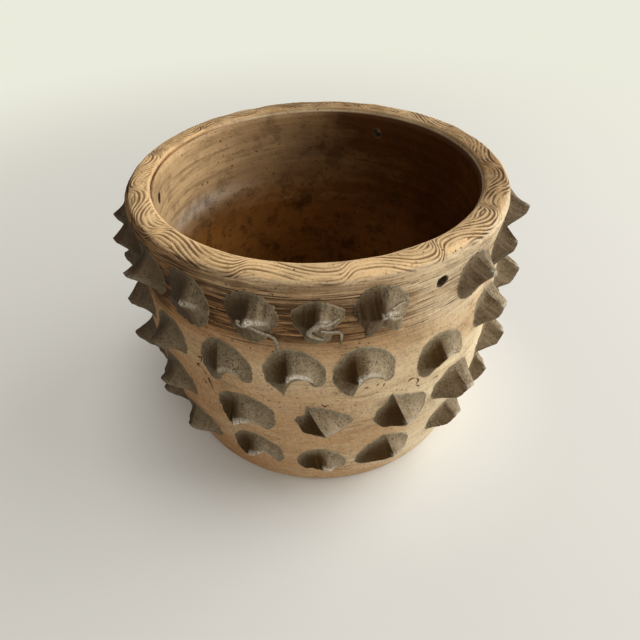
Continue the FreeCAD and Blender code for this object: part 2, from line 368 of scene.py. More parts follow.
def thrown_clay(place, pot):
    """Buff stoneware with throwing lines, comb stain and iron specks, brown and half glossy inside, with
    light and shade painted on its sides, its rim and its well.
    """
    groove, inside, neck, warmth, rim = map(place.mark, ("groove", "inside", "neck", "warmth", "rim"))
    lines = place.stretched(28, 28, 1100).grain(1.0, 3.0, 0.6)
    fine = place.stretched(90, 90, 2600).grain(1.0, 2.0, 0.5)
    drag = place.stretched(14, 14, 75).grain(1.0, 5.0, 0.65)
    rings = place.stretched(12, 12, 150).grain(1.0, 3.0, 0.6)
    smear = place.stretched(22, 22, 330).grain(1.0, 4.0, 0.65)
    patches = place.grain(16.0, 4.0, 0.6)
    smudge = place.grain(42.0, 5.0, 0.7)
    blots = place.grain(75.0, 5.0, 0.7)
    mottle = place.grain(120.0, 4.0, 0.65)
    sand = place.grain(520.0, 3.0, 0.7)
    pits = place.grain(900.0, 2.0, 0.5)
    patchy, smudgy, ringed = patches - 0.5, smudge - 0.5, rings - 0.5

    stain = (neck * (lines.between(0.34, 0.58) * 0.85 + smudge.between(0.4, 0.62) * 0.6)).limited()
    scratch = place.slanted((0, 0.8, 0), 40, 40, 480).grain(1.0, 3.0, 0.6)
    scratch = scratch.between(0.52, 0.62) * place.grain(26.0, 2.0).between(0.5, 0.6) * (1 - neck)
    dry = (patches * 0.5 + mottle * 0.25 + drag * 0.25).between(0.34, 0.66)
    buff = dry.tint(pot.buff, pot.pale).under(
        # Painted shade: the toast darkens the left side; painted light: the cream pales the right side
        (warmth * 1.05 + patchy * 0.8, pot.toast),
        (warmth.between(0.3, 0.0) * 0.9, pot.painted_light_cream),
        (drag.between(0.48, 0.68) * 0.3, pot.toast),
        (drag.between(0.5, 0.34) * 0.35, pot.straw),
        # Painted shade on the rim's back and right, then the pale rim with painted light on the rest of its
        # top
        (place.mark("shade") * (0.95 + smudgy * 1.2), pot.painted_shade_rim),
        (rim * (0.85 + smudgy * 1.3), pot.pale_and_lit_rim),
        (sand.between(0.5, 0.72) * 0.35, pot.ash),
        (sand.between(0.5, 0.3) * 0.3, pot.straw),
        (smudge.between(0.52, 0.7) * 0.3, pot.ash),
        (lines.between(0.5, 0.72) * (0.28 + neck * 0.3), pot.ash),
        (neck * (0.45 + warmth), pot.toast),
        (stain * (0.55 + warmth * 0.6), pot.smoke),
        (smear.between(0.48, 0.56) * neck * 0.9, pot.tar),
        (scratch * 0.4, pot.ash),
        # Grooves take the paler stain where the rim mark, with its painted light, is high
        (groove.between(0.05, 0.5) * (0.92 - rim * 0.15), rim.between(0.0, 0.5).tint(pot.umber, pot.worn)),
    )

    glow = place.mark("rust") * 0.9 + patchy * 0.9 + ringed * 0.4
    # Dust and painted light pale the well's upper left
    dust = (place.mark("dust") * 1.5 - 0.25 + patchy * 0.5 + ringed * 0.35).limited()
    strokes = place.slanted((0.7, 0, 0), 25, 25, 260).grain(1.0, 3.0, 0.6)
    brown = glow.tint(pot.well, pot.rust).under(
        (dust, pot.dust),
        (strokes.between(0.45, 0.65) * dust * 0.55, pot.stroke),
        # A painted highlight along the ridge inside
        (place.mark("sheen") * (0.75 + smudgy * 0.8), pot.sheen),
        (place.specks(110.0, 0.12) * 0.85, pot.umber),
        (smudge.between(0.5, 0.7) * 0.55, pot.smut),
        (blots.between(0.5, 0.66) * (0.6 - dust * 0.42), pot.blot),
    )

    dots = place.specks(260.0, 0.17) * place.grain(35.0).between(0.42, 0.55)
    flecks = place.specks(900.0, 0.32) * smudge.between(0.48, 0.6)
    colour = inside.tint(buff, brown).under(
        (dots * 0.75, pot.umber),
        (flecks * 0.4, pot.ash),
        (pits.between(0.6, 0.74) * 0.55, pot.umber),
    )
    roughness = 0.86 - inside * 0.45 + (mottle - 0.5) * 0.2
    height = lines * 0.55 + fine * 0.25 + mottle * 0.35 - dots * 0.6 + pits * 0.25
    return colour, roughness, height


def smeared_clay(place, thorns):
    """Dark grey clay smeared by thumb: green grey at its thin edge, brown with painted shade in the scoops
    and on the left, a painted highlight on the right, pale where torn.
    """
    middle, scoop, lip, strip = map(place.mark, ("middle", "scoop", "lip", "strip"))
    patches = place.grain(70.0, 3.0, 0.6)
    mottle = place.grain(330.0, 4.0, 0.65)
    pits = place.grain(1100.0, 2.0, 0.55)
    patchy = patches - 0.5

    holes = place.specks(760.0, 0.36) * place.grain(160.0, 2.0).between(0.4, 0.54)
    dark = (holes * 0.8 + pits.between(0.54, 0.68) * 0.7).limited() * middle.between(0.15, 0.45)
    grit = place.specks(640.0, 0.3) * patches.between(0.4, 0.56) * middle.between(0.2, 0.6)
    flakes = mottle.between(0.36, 0.52) * pits.between(0.4, 0.5)
    colour = (middle.between(0.05, 0.5) * 0.85 + patchy * 0.5).tint(thorns.moss, thorns.grey).under(
        # The bark in the scoops is brown clay with painted shade
        (scoop + patchy * 0.4, thorns.bark_and_shade),
        # Painted highlight on the thorns' right faces
        (place.mark("glint") * (0.5 + patchy * 0.9), thorns.glint),
        (strip * mottle.between(0.35, 0.55) * 0.45, thorns.bark_and_shade),
        ((middle + (mottle - 0.5) * 0.3).between(0.12, -0.02), thorns.thin),
        (mottle.between(0.45, 0.7) * 0.35, thorns.bark_and_shade),
        (grit * scoop.between(0.35, 0.0) * 0.35, thorns.grit),
        (dark * 0.85, thorns.pit),
        # Dark firing with painted shade on the left faces and on the far left thorns
        (place.mark("soot") * (0.65 + patchy * 0.8), thorns.soot),
        (place.mark("ray") * (0.35 + mottle * 0.6), thorns.ray),
        (lip * 0.5, thorns.lip),
        (lip * flakes, thorns.torn),
    )
    roughness = 0.74 + (mottle - 0.5) * 0.3
    height = mottle * 0.6 + pits * 0.4 + strip * 0.5 - holes * 0.8
    return colour, roughness, height


# The two clays: what paints each, its group of settings and how deep its grain is
CLAYS = {"thrown_clay": (thrown_clay, "pot", 0.00035), "smeared_clay": (smeared_clay, "thorns", 0.0004)}


def clay(name):
    """One of the two clays, made the first time it is asked for."""
    if name in bpy.data.materials:
        return bpy.data.materials[name]
    paint, group, depth = CLAYS[name]
    material = bpy.data.materials.new(name)
    start = bare(material)
    place = start.node("ShaderNodeTexCoord", out="Object")
    colour, roughness, height = paint(place, getattr(bpy.context.scene.planter, group))
    normal = start.node("ShaderNodeBump", {"Strength": 1.0, "Distance": depth, "Height": height})
    shader = start.node("ShaderNodeBsdfPrincipled", {
        "Base Color": colour, "Roughness": roughness, "Normal": normal, "Specular IOR Level": CLAY_GLOSS})
    start.node("ShaderNodeOutputMaterial", {"Surface": shader}, out=None)
    return material


# Meshes


def mesh_piece(name, points, faces, marks, finish, slot, *nodes):
    """An object from points, faces and marks that stands for its nodes and rides on the pot."""
    mesh = bpy.data.meshes.new(name)
    mesh.from_pydata(points.tolist(), [], faces)
    mesh.update()
    piece = bpy.data.objects.new(name, mesh)
    bpy.context.collection.objects.link(piece)
    for key, values in marks.items():
        layer = mesh.attributes.new(key, "FLOAT", "POINT")
        layer.data.foreach_set("value", np.ascontiguousarray(np.ravel(values), dtype=np.float32))
    mesh.shade_smooth()
    mesh.set_sharp_from_angle(angle=SHARP_ANGLE)
    mesh.materials.append(clay(finish))
    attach(piece, "root")
    if nodes:
        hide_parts(*nodes)
    return piece


class Heap:
    """Several shapes gathered into one, each with points, faces and marks."""

    def __init__(self):
        self.points, self.faces, self.marks, self.count = [], [], {}, 0

    def add(self, points, faces, marks):
        """Add a shape whose marks are one number each, or one to a point."""
        self.points.append(points)
        self.faces += [[corner + self.count for corner in face] for face in faces]
        self.count += len(points)
        for key, values in marks.items():
            spread = np.ravel(values) if np.ndim(values) else np.full(len(points), values)
            self.marks.setdefault(key, []).append(spread)

    def gathered(self):
        """The points, faces and marks of all the shapes."""
        marks = {key: np.concatenate(values) for key, values in self.marks.items()}
        return np.concatenate(self.points), self.faces, marks


def turned_faces(rows, turns, closed=False):
    """Faces between rings of points, which close on the first ring or else have a cap at each end."""
    last = rows if closed else rows - 1
    i, j = np.meshgrid(np.arange(last), np.arange(turns), indexing="ij")
    after_i, after_j = (i + 1) % rows, (j + 1) % turns
    corners = [i * turns + j, i * turns + after_j, after_i * turns + after_j, after_i * turns + j]
    faces = np.stack(corners, -1).reshape(-1, 4).tolist()
    if not closed:
        faces += [list(range(turns))[::-1], list(range(last * turns, rows * turns))]
    return faces


def resampled(path, step):
    """A path of radii and heights as points about a step apart, the way that each faces and the way along."""
    path = np.asarray(path)
    along = np.concatenate([[0], np.cumsum(np.hypot(*np.diff(path, axis=0).T))])
    count = max(int(along[-1] / step), 2) + 1
    where = np.linspace(0, along[-1], count)
    points = np.stack([np.interp(where, along, path[:, k]) for k in (0, 1)], -1)
    run = np.gradient(points, axis=0)
    run /= np.linalg.norm(run, axis=1)[:, None] + 1e-12
    return points, np.stack([run[:, 1], -run[:, 0]], -1), where


def shell(line, low, high, count, outer_step, inner_step):
    """Points up the outside and down the well between two heights, their facings, and which lie inside."""
    up = np.linspace(low, high, count)
    outer, outer_ways, _ = resampled([(line.outside(z), z) for z in up], outer_step)
    inner, inner_ways, _ = resampled([(line.inside(z), z) for z in up[::-1]], inner_step)
    points, ways = np.concatenate([outer, inner]), np.concatenate([outer_ways, inner_ways])
    return points, ways, np.arange(len(points))[:, None] >= len(outer)


def turned_piece(name, node, pot, points, ways, push, inside, groove=0.0, closed=True):
    """A piece of the pot: points turned about its axis, each pushed along the way it faces."""
    angle = ring_angles(push.shape[1])
    radius = points[:, :1] + push * ways[:, :1]
    height = points[:, 1:] + push * ways[:, 1:]
    rings = np.stack([radius * np.cos(angle), radius * np.sin(angle), height], -1).reshape(-1, 3)
    faces = turned_faces(*push.shape, closed)
    marks = pot_marks(pot, angle, points[:, 1:], inside * 1.0, groove)
    return mesh_piece(name, rings, faces, marks, "thrown_clay", "buff_clay", node)


# Pot

# The sides of the pot that the firing, the comb and stains left different, and the sides where light and
# shade are painted on, as bearings in degrees
FIRED_AND_SHADED_SIDE = -165
STAINED_SIDE = -150
BARE_SIDE = -50
CALM_SIDE = 268
DUSTY_LIT_SIDE = 190
RUSTY_SIDE = 170
PAINTED_SHEEN_SIDE = 150
SHADED_RIM_RIGHT, SHADED_RIM_BACK = -5, 95


class Pot:
    """Surface marks shared by the pot's pieces, so that they meet without a step."""

    rim_drop = 8 * MM
    first_line, last_line = 1.2 * MM, 6 * MM
    line_gaps, line_weights, line_widths = (1.0, 1.9), (0.35, 1.0), (0.28, 0.55)
    halo_inner, halo_outer = 13 * MM, 25 * MM
    ring_pitch, well_ring_pitch = 7.3 * MM, 9.5 * MM

    def __init__(self, settings):
        self.settings = settings
        self.outline = Outline()
        self.seam, self.top = self.outline.seam, self.outline.top
        self.rim_foot = self.top - self.rim_drop
        rng = np.random.default_rng(11)
        heights, z = [], self.seam + self.first_line
        while z < self.top - self.last_line:
            heights.append(z)
            z += rng.uniform(*self.line_gaps) * MM
        firm = 0.45 + 0.55 * ease(np.array(heights), self.seam + 4 * MM, self.seam + 14 * MM)
        weights = rng.uniform(*self.line_weights, len(heights)) * firm
        widths = rng.uniform(*self.line_widths, len(heights)) * MM
        self.comb_lines = list(zip(heights, weights, widths))
        middles = [node_points(node).mean(0) for node in frame["nodes"] if node.startswith(NECK_ROW)]
        self.neck_lumps = [(math.atan2(y, x), z) for x, y, z in middles]

    def noise(self, angle, z, across, up, seed):
        """Smooth noise from -1 to 1 over the pot."""
        return cloud(angle / FULL_TURN, z / self.top, across, up, seed)

    @staticmethod
    def near(angle, bearing, width):
        """0 to 1 towards a bearing in degrees, over a width in radians."""
        return bell(short_way(angle - math.radians(bearing)), width)

    @staticmethod
    def facing(angle, bearing):
        """1 at a bearing in degrees, falling evenly to 0 across the pot from it."""
        return 0.5 + 0.5 * np.cos(angle - math.radians(bearing))

    def neck_grooves(self, angle, z):
        """0 to 1 in the level comb lines of the neck."""
        x = angle / FULL_TURN
        found = np.zeros(np.broadcast(angle, z).shape)
        for k, (line, weight, width) in enumerate(self.comb_lines):
            sway = 0.75 * MM * wander(x, 19, 100 + k)
            broken = ease(wander(x, 46, 200 + k) + 0.6 * wander(x, 150, 300 + k), -0.9 * weight, 0.5)
            found = np.maximum(found, weight * broken * bell(z - line - sway, width))
        return found * (1 - 0.45 * self.bare_side(angle))

    def bare_side(self, angle):
        """0 to 1 on the side where the neck was left pale."""
        return self.near(angle, BARE_SIDE, 0.45)

    def sunny_side(self, angle):
        """0 to 1 on the side where painted light makes the rim palest; the rest of the rim takes painted
        shade.
        """
        dark = 0.9 * self.near(angle, SHADED_RIM_RIGHT, 0.75) + 0.85 * self.near(angle, SHADED_RIM_BACK, 0.8)
        return 0.9 - np.clip(dark, 0, 0.9)

    def halo(self, angle, z):
        """0 to 1 round the thorns of the neck, where their dark clay was smeared."""
        found = np.zeros(np.broadcast(angle, z).shape)
        for bearing, level in self.neck_lumps:
            away = np.hypot(short_way(angle - bearing) * self.outline.outside(level), z - level)
            found = np.maximum(found, 1 - ease(away, self.halo_inner, self.halo_outer))
        return found

    def outside_push(self, angle, z):
        """How far the outside stands out from the solid."""
        x, y = angle / FULL_TURN, z / self.top
        swing = 0.35 * MM * cloud(x, y, 7, 4, 1) + 0.12 * MM * cloud(x, y, 30, 30, 2)
        rings = 0.16 * MM * np.sin(z / self.ring_pitch * FULL_TURN + 2 * cloud(x, y, 5, 3, 3))
        lines = 0.06 * MM * cloud(x + 0.3 * y, y, 12, 140, 4)
        return swing + (rings + lines) * (1 - ease(z, self.seam - 3 * MM, self.seam + 2 * MM))

    def inside_push(self, angle, z):
        """How far the well's wall stands in from the solid."""
        sway = 1.6 * self.noise(angle, z, 6, 5, 5)
        depth = 0.6 + 0.4 * self.noise(angle, z, 5, 9, 10)
        rings = np.sin(z / self.well_ring_pitch * FULL_TURN - angle + sway) * depth
        return self.settings.ring_depth * 0.5 * (rings - 1) + 0.15 * MM * self.noise(angle, z, 24, 24, 6)

    def warmth(self, angle, z):
        """0 to 1 where the firing turned the outside orange and painted shade darkens the left; where it is
        low, painted light pales the right.
        """
        left = self.facing(angle, FIRED_AND_SHADED_SIDE)
        seam = 0.3 * bell(z - self.seam - 5 * MM, 9 * MM) * left
        side = 1.05 * left**3 * (1.3 - z / self.top)
        return np.clip(0.02 + side + seam + 0.22 * self.noise(angle, z, 9, 6, 7), 0, 1)

    def dust(self, angle, z):
        """0 to 1 where dry dust and painted light pale the inside, high on the well's upper left, where the
        lamp shines in.
        """
        high = 1.1 * self.facing(angle, DUSTY_LIT_SIDE) ** 1.9 * ease(z / self.top, 0.45, 0.85)
        return np.clip(high + 0.15 * self.noise(angle, z, 8, 7, 9), 0, 1)

    def sheen(self, angle, z):
        """0 to 1 on a painted highlight along the ridge inside, where the wall meets the collar."""
        ridge = self.seam - 6 * MM + 3 * MM * wander(angle / FULL_TURN, 14, 13)
        return bell(z - ridge, 6 * MM) * self.near(angle, PAINTED_SHEEN_SIDE, 0.42)

    def rust(self, angle, z):
        """0 to 1 low in the well, where it is orange."""
        low = (0.3 + 0.75 * self.facing(angle, RUSTY_SIDE)) * (1 - ease(z / self.top, 0.4, 0.95))
        return np.clip(low + 0.2 * self.noise(angle, z, 7, 5, 12), 0, 1)


def pot_marks(pot, angle, level, inside, groove):
    """The marks that thrown_clay reads, for a column of heights at each angle."""
    around, z = np.broadcast_arrays(angle, level)
    seam, below = pot.seam, (z - pot.top) / MM
    left = pot.near(around, FIRED_AND_SHADED_SIDE, 0.8)
    low = 0.15 + 0.45 * pot.near(around, STAINED_SIDE, 0.55)
    neck = low * ease(z, seam - 2 * MM, seam + 3 * MM) + (1 - low) * ease(z, seam + 5 * MM, seam + 14 * MM)
    neck = neck * (1 - 0.5 * ease(below, -22, -11) * (1 - left))
    neck = neck * (1 - ease(below, 2.3 * left - 3.5, 0.6 * left - 0.8))
    smeared = 0.65 + 0.5 * pot.halo(around, z) + 0.8 * left
    top = ease(below, 1.6 * left - 2.4, 0.35 * left - 0.5) * (1 - inside)
    sunny = pot.sunny_side(around)
    return {
        "inside": inside + 0 * z,
        "groove": groove + 0 * z,
        "neck": neck * (1 - inside) * (1 - 0.6 * pot.bare_side(around)) * smeared,
        "warmth": pot.warmth(around, z),
        "dust": pot.dust(around, z),
        "rust": pot.rust(around, z),
        "sheen": pot.sheen(around, z),
        # The rim's top: painted light where it is lit, painted shade on its back and right
        "rim": top * sunny,
        "shade": top * (1 - sunny),
    }


class PLANTER_OT_floor_slab(bpy.types.Operator):
    """Make the slab that the planter stands on"""

    bl_idname = "planter.floor_slab"
    bl_label = "Floor slab"
    turns = 360
    hub = 0.4 * MM
    steps = (4 * MM, 1 * MM, 2 * MM)
    spiral_pitch = 8.5 * MM

    def execute(self, context):
        pot = Pot(context.scene.planter.pot)
        line = pot.outline
        edge = (line.outside(line.floor), line.floor)
        side = [(line.outside(z), z) for z in line.heights[line.heights < line.floor]] + [edge]
        paths = ([(self.hub, 0.0), side[0]], side, [edge, (self.hub, line.floor)])
        under, rise, deck = (resampled(path, step) for path, step in zip(paths, self.steps))
        points, ways = (np.concatenate([under[k], rise[k][1:], deck[k][1:]]) for k in (0, 1))
        order = np.arange(len(points))[:, None]
        is_deck = order >= len(under[0]) + len(rise[0]) - 1
        is_rise = (order >= len(under[0])) & ~is_deck
        angle, r, z = ring_angles(self.turns), points[:, :1], points[:, 1:]
        spiral = 0.5 * np.sin(r / self.spiral_pitch * FULL_TURN + angle) * ease(r, 5 * MM, 14 * MM)
        deck_push = (0.5 * spiral - 0.6) * MM * (1 - ease(r, 78 * MM, 84 * MM))
        side_push = pot.outside_push(angle, z) * ease(z, 0, 3 * MM)
        push = np.where(is_deck, deck_push, np.where(is_rise, side_push, 0))
        turned_piece("floor_slab_clay", "floor_slab", pot, points, ways, push, is_deck, closed=False)
        return {"FINISHED"}


class PLANTER_OT_thrown_wall(bpy.types.Operator):
    """Make the swelling wall between the floor and the collar"""

    bl_idname = "planter.thrown_wall"
    bl_label = "Thrown wall"
    turns = 480

    def execute(self, context):
        pot = Pot(context.scene.planter.pot)
        floor = pot.outline.floor
        points, ways, inside = shell(pot.outline, floor, pot.seam, 160, 1.0 * MM, 2.4 * MM)
        angle, z = ring_angles(self.turns), points[:, 1:]
        well_push = pot.inside_push(angle, z) * ease(z, floor, floor + 12 * MM)
        push = np.where(inside, well_push, pot.outside_push(angle, z))
        turned_piece("thrown_wall_clay", "thrown_wall", pot, points, ways, push, inside)
        return {"FINISHED"}


class PLANTER_OT_combed_neck(bpy.types.Operator):
    """Make the collar's neck with its level comb lines and the hanging holes"""

    bl_idname = "planter.combed_neck"
    bl_label = "Combed neck"
    turns = 620
    hole_sides = 40
    hole_reach = 0.02

    def execute(self, context):
        settings = context.scene.planter.pot
        pot = Pot(settings)
        points, ways, inside = shell(pot.outline, pot.seam, pot.rim_foot, 120, 0.38 * MM, 1.6 * MM)
        angle, z = ring_angles(self.turns), points[:, 1:]
        groove = pot.neck_grooves(angle, z) * ~inside
        combed = pot.outside_push(angle, z) - settings.neck_groove * groove
        push = np.where(inside, pot.inside_push(angle, z), combed)
        piece = turned_piece("combed_neck_clay", "combed_collar", pot, points, ways, push, inside, groove)
        self.pierce(piece)
        return {"FINISHED"}

    def pierce(self, piece):
        """Cut the hanging holes that the record lists through the neck, and darken them."""
        bores = [
            (Vector(mount["pos_m"]), Vector(mount["axis"]).normalized(), mount["dims"]["r_mm"] * MM)
            for mount in frame["record"]["mounts"] if mount["kind"] == "bore"]
        if not bores:
            raise RuntimeError("the record lists no hanging holes")
        heap = Heap()
        for centre, axis, radius in bores:
            across = axis.orthogonal().normalized()
            up = axis.cross(across)
            rim = [(across * math.cos(t) + up * math.sin(t)) * radius for t in ring_angles(self.hole_sides)]
            ends = [centre + axis * shift for shift in (-self.hole_reach, self.hole_reach)]
            points = np.array([end + spoke for end in ends for spoke in rim])
            heap.add(points, turned_faces(len(ends), self.hole_sides), {})
        points, faces, _ = heap.gathered()
        mesh = bpy.data.meshes.new("hole_cutter")
        mesh.from_pydata(points.tolist(), [], faces)
        cutter = bpy.data.objects.new("hole_cutter", mesh)
        bpy.context.collection.objects.link(cutter)
        change = piece.modifiers.new("holes", "BOOLEAN")
        change.operation, change.object, change.solver = "DIFFERENCE", cutter, "EXACT"
        bpy.context.view_layer.update()
        cut = bpy.data.meshes.new_from_object(piece.evaluated_get(bpy.context.evaluated_depsgraph_get()))
        piece.modifiers.clear()
        before = len(piece.data.vertices)
        piece.data = cut
        bpy.data.objects.remove(cutter)
        if len(cut.vertices) == before:
            raise RuntimeError("the hanging holes weren't cut")
        cut.set_sharp_from_angle(angle=SHARP_ANGLE)
        groove = cut.attributes["groove"].data
        for vertex in cut.vertices:
            for centre, axis, radius in bores:
                off = vertex.co - centre
                if abs(off.dot(axis)) < self.hole_reach and off.cross(axis).length < radius + 0.3 * MM:
                    groove[vertex.index].value = 1.0


class PLANTER_OT_combed_rim(bpy.types.Operator):
    """Make the broad rim with its combed waves"""

    bl_idname = "planter.combed_rim"
    bl_label = "Combed rim"
    turns = 1500
    step = 0.55 * MM
    breadth = 30 * MM

    def execute(self, context):
        settings = context.scene.planter.pot
        pot = Pot(settings)
        line = pot.outline
        up = np.concatenate([[pot.rim_foot], line.heights[line.heights > pot.rim_foot]])
        path = [(line.outside(z), z) for z in up] + [(line.inside(z), z) for z in up[::-1]]
        points, ways, along = resampled(path, self.step)
        top = points[:, 1] > line.top - 0.3 * MM
        outer_edge, inner_edge = along[top][0], along[top][-1]
        angle, z, along = ring_angles(self.turns), points[:, 1:], along[:, None]
        end = along[-1]
        inside = ease(along, inner_edge + 3.2 * MM, inner_edge + 5.2 * MM)
        fade_in = ease(along, end - 5 * MM, end - 0.5 * MM)
        roll = ease(along, 0.5 * MM, outer_edge)
        groove = self.waves(pot, angle, along, outer_edge, inner_edge)
        neck = pot.neck_grooves(angle, z) * (1 - ease(along, 1 * MM, 4 * MM))
        skin = pot.outside_push(angle, z) * (1 - roll) + pot.inside_push(angle, z) * fade_in
        lumps = 0.3 * MM * cloud(angle / FULL_TURN, along / end, 60, 6, 8) * (1 - fade_in)
        crown = ((along - 0.5 * (outer_edge + inner_edge)) / (inner_edge - outer_edge)) ** 2 * 3.2 * MM
        crown = np.minimum(crown, 1.6 * MM) * (1 - fade_in) * roll
        push = skin + lumps - crown - settings.comb_depth * groove - settings.neck_groove * neck
        turned_piece(
            "combed_rim_clay", "combed_collar", pot, points, ways, push, inside, np.maximum(groove, neck))
        return {"FINISHED"}

    def waves(self, pot, angle, along, outer_edge, inner_edge):
        """0 to 1 in the wavy grooves, by angle and by the way across the rim."""
        settings, pitch = pot.settings, pot.settings.comb_pitch
        x, y = angle / FULL_TURN, along / self.breadth

        def comb(across, pitch):
            return (0.5 + 0.5 * np.cos(across / pitch * FULL_TURN)) ** 1.6

        phase = settings.wave_count * angle + 2.2 * wander(x, 7, 21)
        front = pot.near(angle, CALM_SIDE, 0.5)
        swing = settings.wave_height * (1 + 0.3 * wander(x, 11, 22)) * (1 - 0.5 * front)
        wave = swing * np.tanh(1.5 * np.sin(phase + 0.5 * np.sin(phase))) / math.tanh(1.5)
        shake = 0.25 * MM * cloud(x, y, 120, 12, 23)
        half = 0.5 * settings.comb_teeth * pitch
        across = along - (0.5 * (outer_edge + inner_edge) - 1.6 * MM) - wave + shake
        combed = 1 - ease(np.abs(across), half - 0.6 * MM, half + 0.6 * MM)
        beside = along - 0.45 * wave - 1.3 * MM * np.sin(2.3 * phase) + shake
        second = (1 - combed) * comb(beside, 0.85 * pitch) * 0.75 * ease(cloud(x, y, 40, 5, 25), -0.45, 0.2)
        tooth = 0.8 + 0.2 * np.sin(2.1 * np.round(across / pitch) + 3 * wander(x, 17, 26))
        strength = (0.72 + 0.5 * cloud(x, y, 90, 9, 24)) * tooth * (1 - 0.4 * front)
        edge_in = 1 - ease(along, inner_edge - 2.5 * MM, inner_edge + 0.6 * MM)
        edge_out = ease(along, outer_edge - 6.5 * MM, outer_edge - 3.5 * MM)
        return np.clip((combed * comb(across, pitch) + second) * strength * edge_in * edge_out, 0, 1)


# Thorns


class Spot:
    """Where one thorn sits and how it is drawn out, read from its solid."""

    def __init__(self, points, line):
        angles = np.arctan2(points[:, 1], points[:, 0])
        radius = np.hypot(points[:, 0], points[:, 1])
        middle = math.atan2(np.sin(angles).mean(), np.cos(angles).mean())
        turn = short_way(angles - middle)
        low, high = points[:, 2].min(), points[:, 2].max()
        self.bearing = middle + (turn.min() + turn.max()) / 2
        self.level = (low + high) / 2
        wall = float(line.outside(self.level))
        self.half_width = (turn.max() - turn.min()) / 2 * wall
        self.half_height = (high - low) / 2
        tip = int(np.argmax(radius - line.outside(points[:, 2])))
        self.reach = radius[tip] - float(line.outside(points[tip, 2]))
        self.rise = points[tip, 2] - self.level
        self.lean = short_way(angles[tip] - self.bearing) * wall


def spots_of(node, line):
    """The thorns that a node holds, each an island of its mesh, in the order of their first corners."""
    points = node_points(node)
    _, same = np.unique(np.round(points / (0.01 * MM)).astype(int), axis=0, return_inverse=True)
    same = same.ravel()
    island = np.arange(same.max() + 1)

    def root(k):
        while island[k] != k:
            island[k] = island[island[k]]
            k = island[k]
        return k

    for polygon in frame["nodes"][node].data.polygons:
        corners = [root(same[k]) for k in polygon.vertices]
        for other in corners[1:]:
            island[root(other)] = root(corners[0])
    owner = np.array([root(k) for k in same])
    return [Spot(points[owner == group], line) for group in dict.fromkeys(owner.tolist())]


class Fan:
    """The lines that a thorn is drawn from, in millimetres across, up and out from the middle of its solid.

    The upper line runs along the fan's edge from its left end over the crown to its right end, the lip from
    near one end over the tip to near the other, and the low line along the fan's edge below the lip. Each
    line is given as two halves.
    """

    end_height = 0.2
    crown_turns = ((0, 18, 36, 54, 72, 90), (72, 54, 36, 18, 0))
    lip_shares = ((0.22, 0.45, 0.68, 0.88, 1.0), (0.88, 0.68, 0.5, 0.32, 0.15))
    neck_low = (((-0.95, -0.5), (-0.65, -0.9), (-0.1, -1.02)), ((0.45, -0.98), (0.82, -0.65)))

    def __init__(self, sharp, crumb, upper, lip, low, dark=1.0):
        self.sharp, self.crumb, self.dark = sharp, crumb, dark
        first, last = upper[0][0], upper[1][-1]
        self.upper = (upper[0], (upper[0][-1], *upper[1]))
        self.lip = (
            ((*first, self.end_height), *lip[0]),
            (lip[0][-1], *lip[1], (*last, self.end_height)))
        self.low = ((first, *low[0]), (low[0][-1], *low[1], last))

    @classmethod
    def loose(cls, spot, seed, row):
        """A fan drawn at random about its solid, crumbled on the right of the pot and clean on the left."""
        rng = np.random.default_rng(seed)
        wide, tall, reach = spot.half_width / MM, spot.half_height / MM, spot.reach / MM
        tip = (spot.lean / MM, spot.rise / MM, reach)
        right = max(math.cos(spot.bearing), 0)
        clean = 1 - 0.8 * max(-math.cos(spot.bearing), 0)

        crown = rng.uniform(-0.35, 0.1) * wide
        ends = [(side * wide, rng.uniform(-0.4, -0.05) * tall) for side in (-1, 1)]
        upper = [[], []]
        for line, (end, rest), turns in zip(upper, ends, cls.crown_turns):
            for turn in np.radians(turns):
                swell = 1 + 0.05 * rng.uniform(-1, 1)
                across = end * math.cos(turn) + crown * math.sin(turn) ** 2
                line.append((across, rest + (tall - rest) * math.sin(turn) ** 0.8 * swell))

        lip = [[], []]
        blunt = rng.uniform(0.5, 1.5) * clean + 0.8 * right
        for half, (end, rest) in enumerate(ends):
            arch = half and rng.uniform(0.2, 1.0) * clean
            for share in cls.lip_shares[half]:
                bow = math.sin(math.pi * share)
                height = share + arch * (ease(share, 0.15, 0.62) * 0.9 - share) * (share < 0.85)
                height = height + 0.07 * (share > 0.85) + 0.16 * blunt * bow
                height = height + 0.06 * clean * rng.uniform(-1, 1)
                dip = clean * rng.uniform(0.0, 3.0) * bow
                across, up = end + (tip[0] - end) * share, rest + (tip[1] - rest) * share
                lip[half].append((across, up - dip, max(reach * min(height, 1.0), 0.3)))
        lip[0][-1] = tip

        tail, lobe = rng.uniform(0.7, 1.0), rng.uniform(0.7, 1.0)
        flap, notch = rng.uniform(0.5, 0.8), rng.uniform(0.2, 0.55)
        low = cls.neck_low if row == NECK_ROW else (
            ((-0.88, -0.6 * lobe), (-0.58, -0.95 * lobe), (-0.12, -tail)),
            ((0.08, -0.8 * tail), (0.28, -notch), (0.5, -0.8 * flap), (0.72, -flap), (0.9, -0.75 * flap)))
        low = [[(across * wide, up * tall) for across, up in half] for half in low]
        sharp = rng.uniform(0.2, 0.85)
        crumb = rng.uniform(0.1, 0.5) * clean + 0.45 * right
        # The scoops' painted shade is weaker on the right of the pot, where the thorns face the lamp
        return cls(sharp, crumb, upper, lip, low, 0.8 - 0.25 * right)

    @staticmethod
    def read(halves, u):
        """A line's points in metres, for u from -1 at its left end over 0 between its halves to 1."""
        left, right = (np.asarray(half, dtype=float) for half in halves)
        left, right = smooth_line(left, np.clip(1 + u, 0, 1)), smooth_line(right, np.clip(u, 0, 1))
        return np.where((u < 0)[:, None], left, right).T * MM


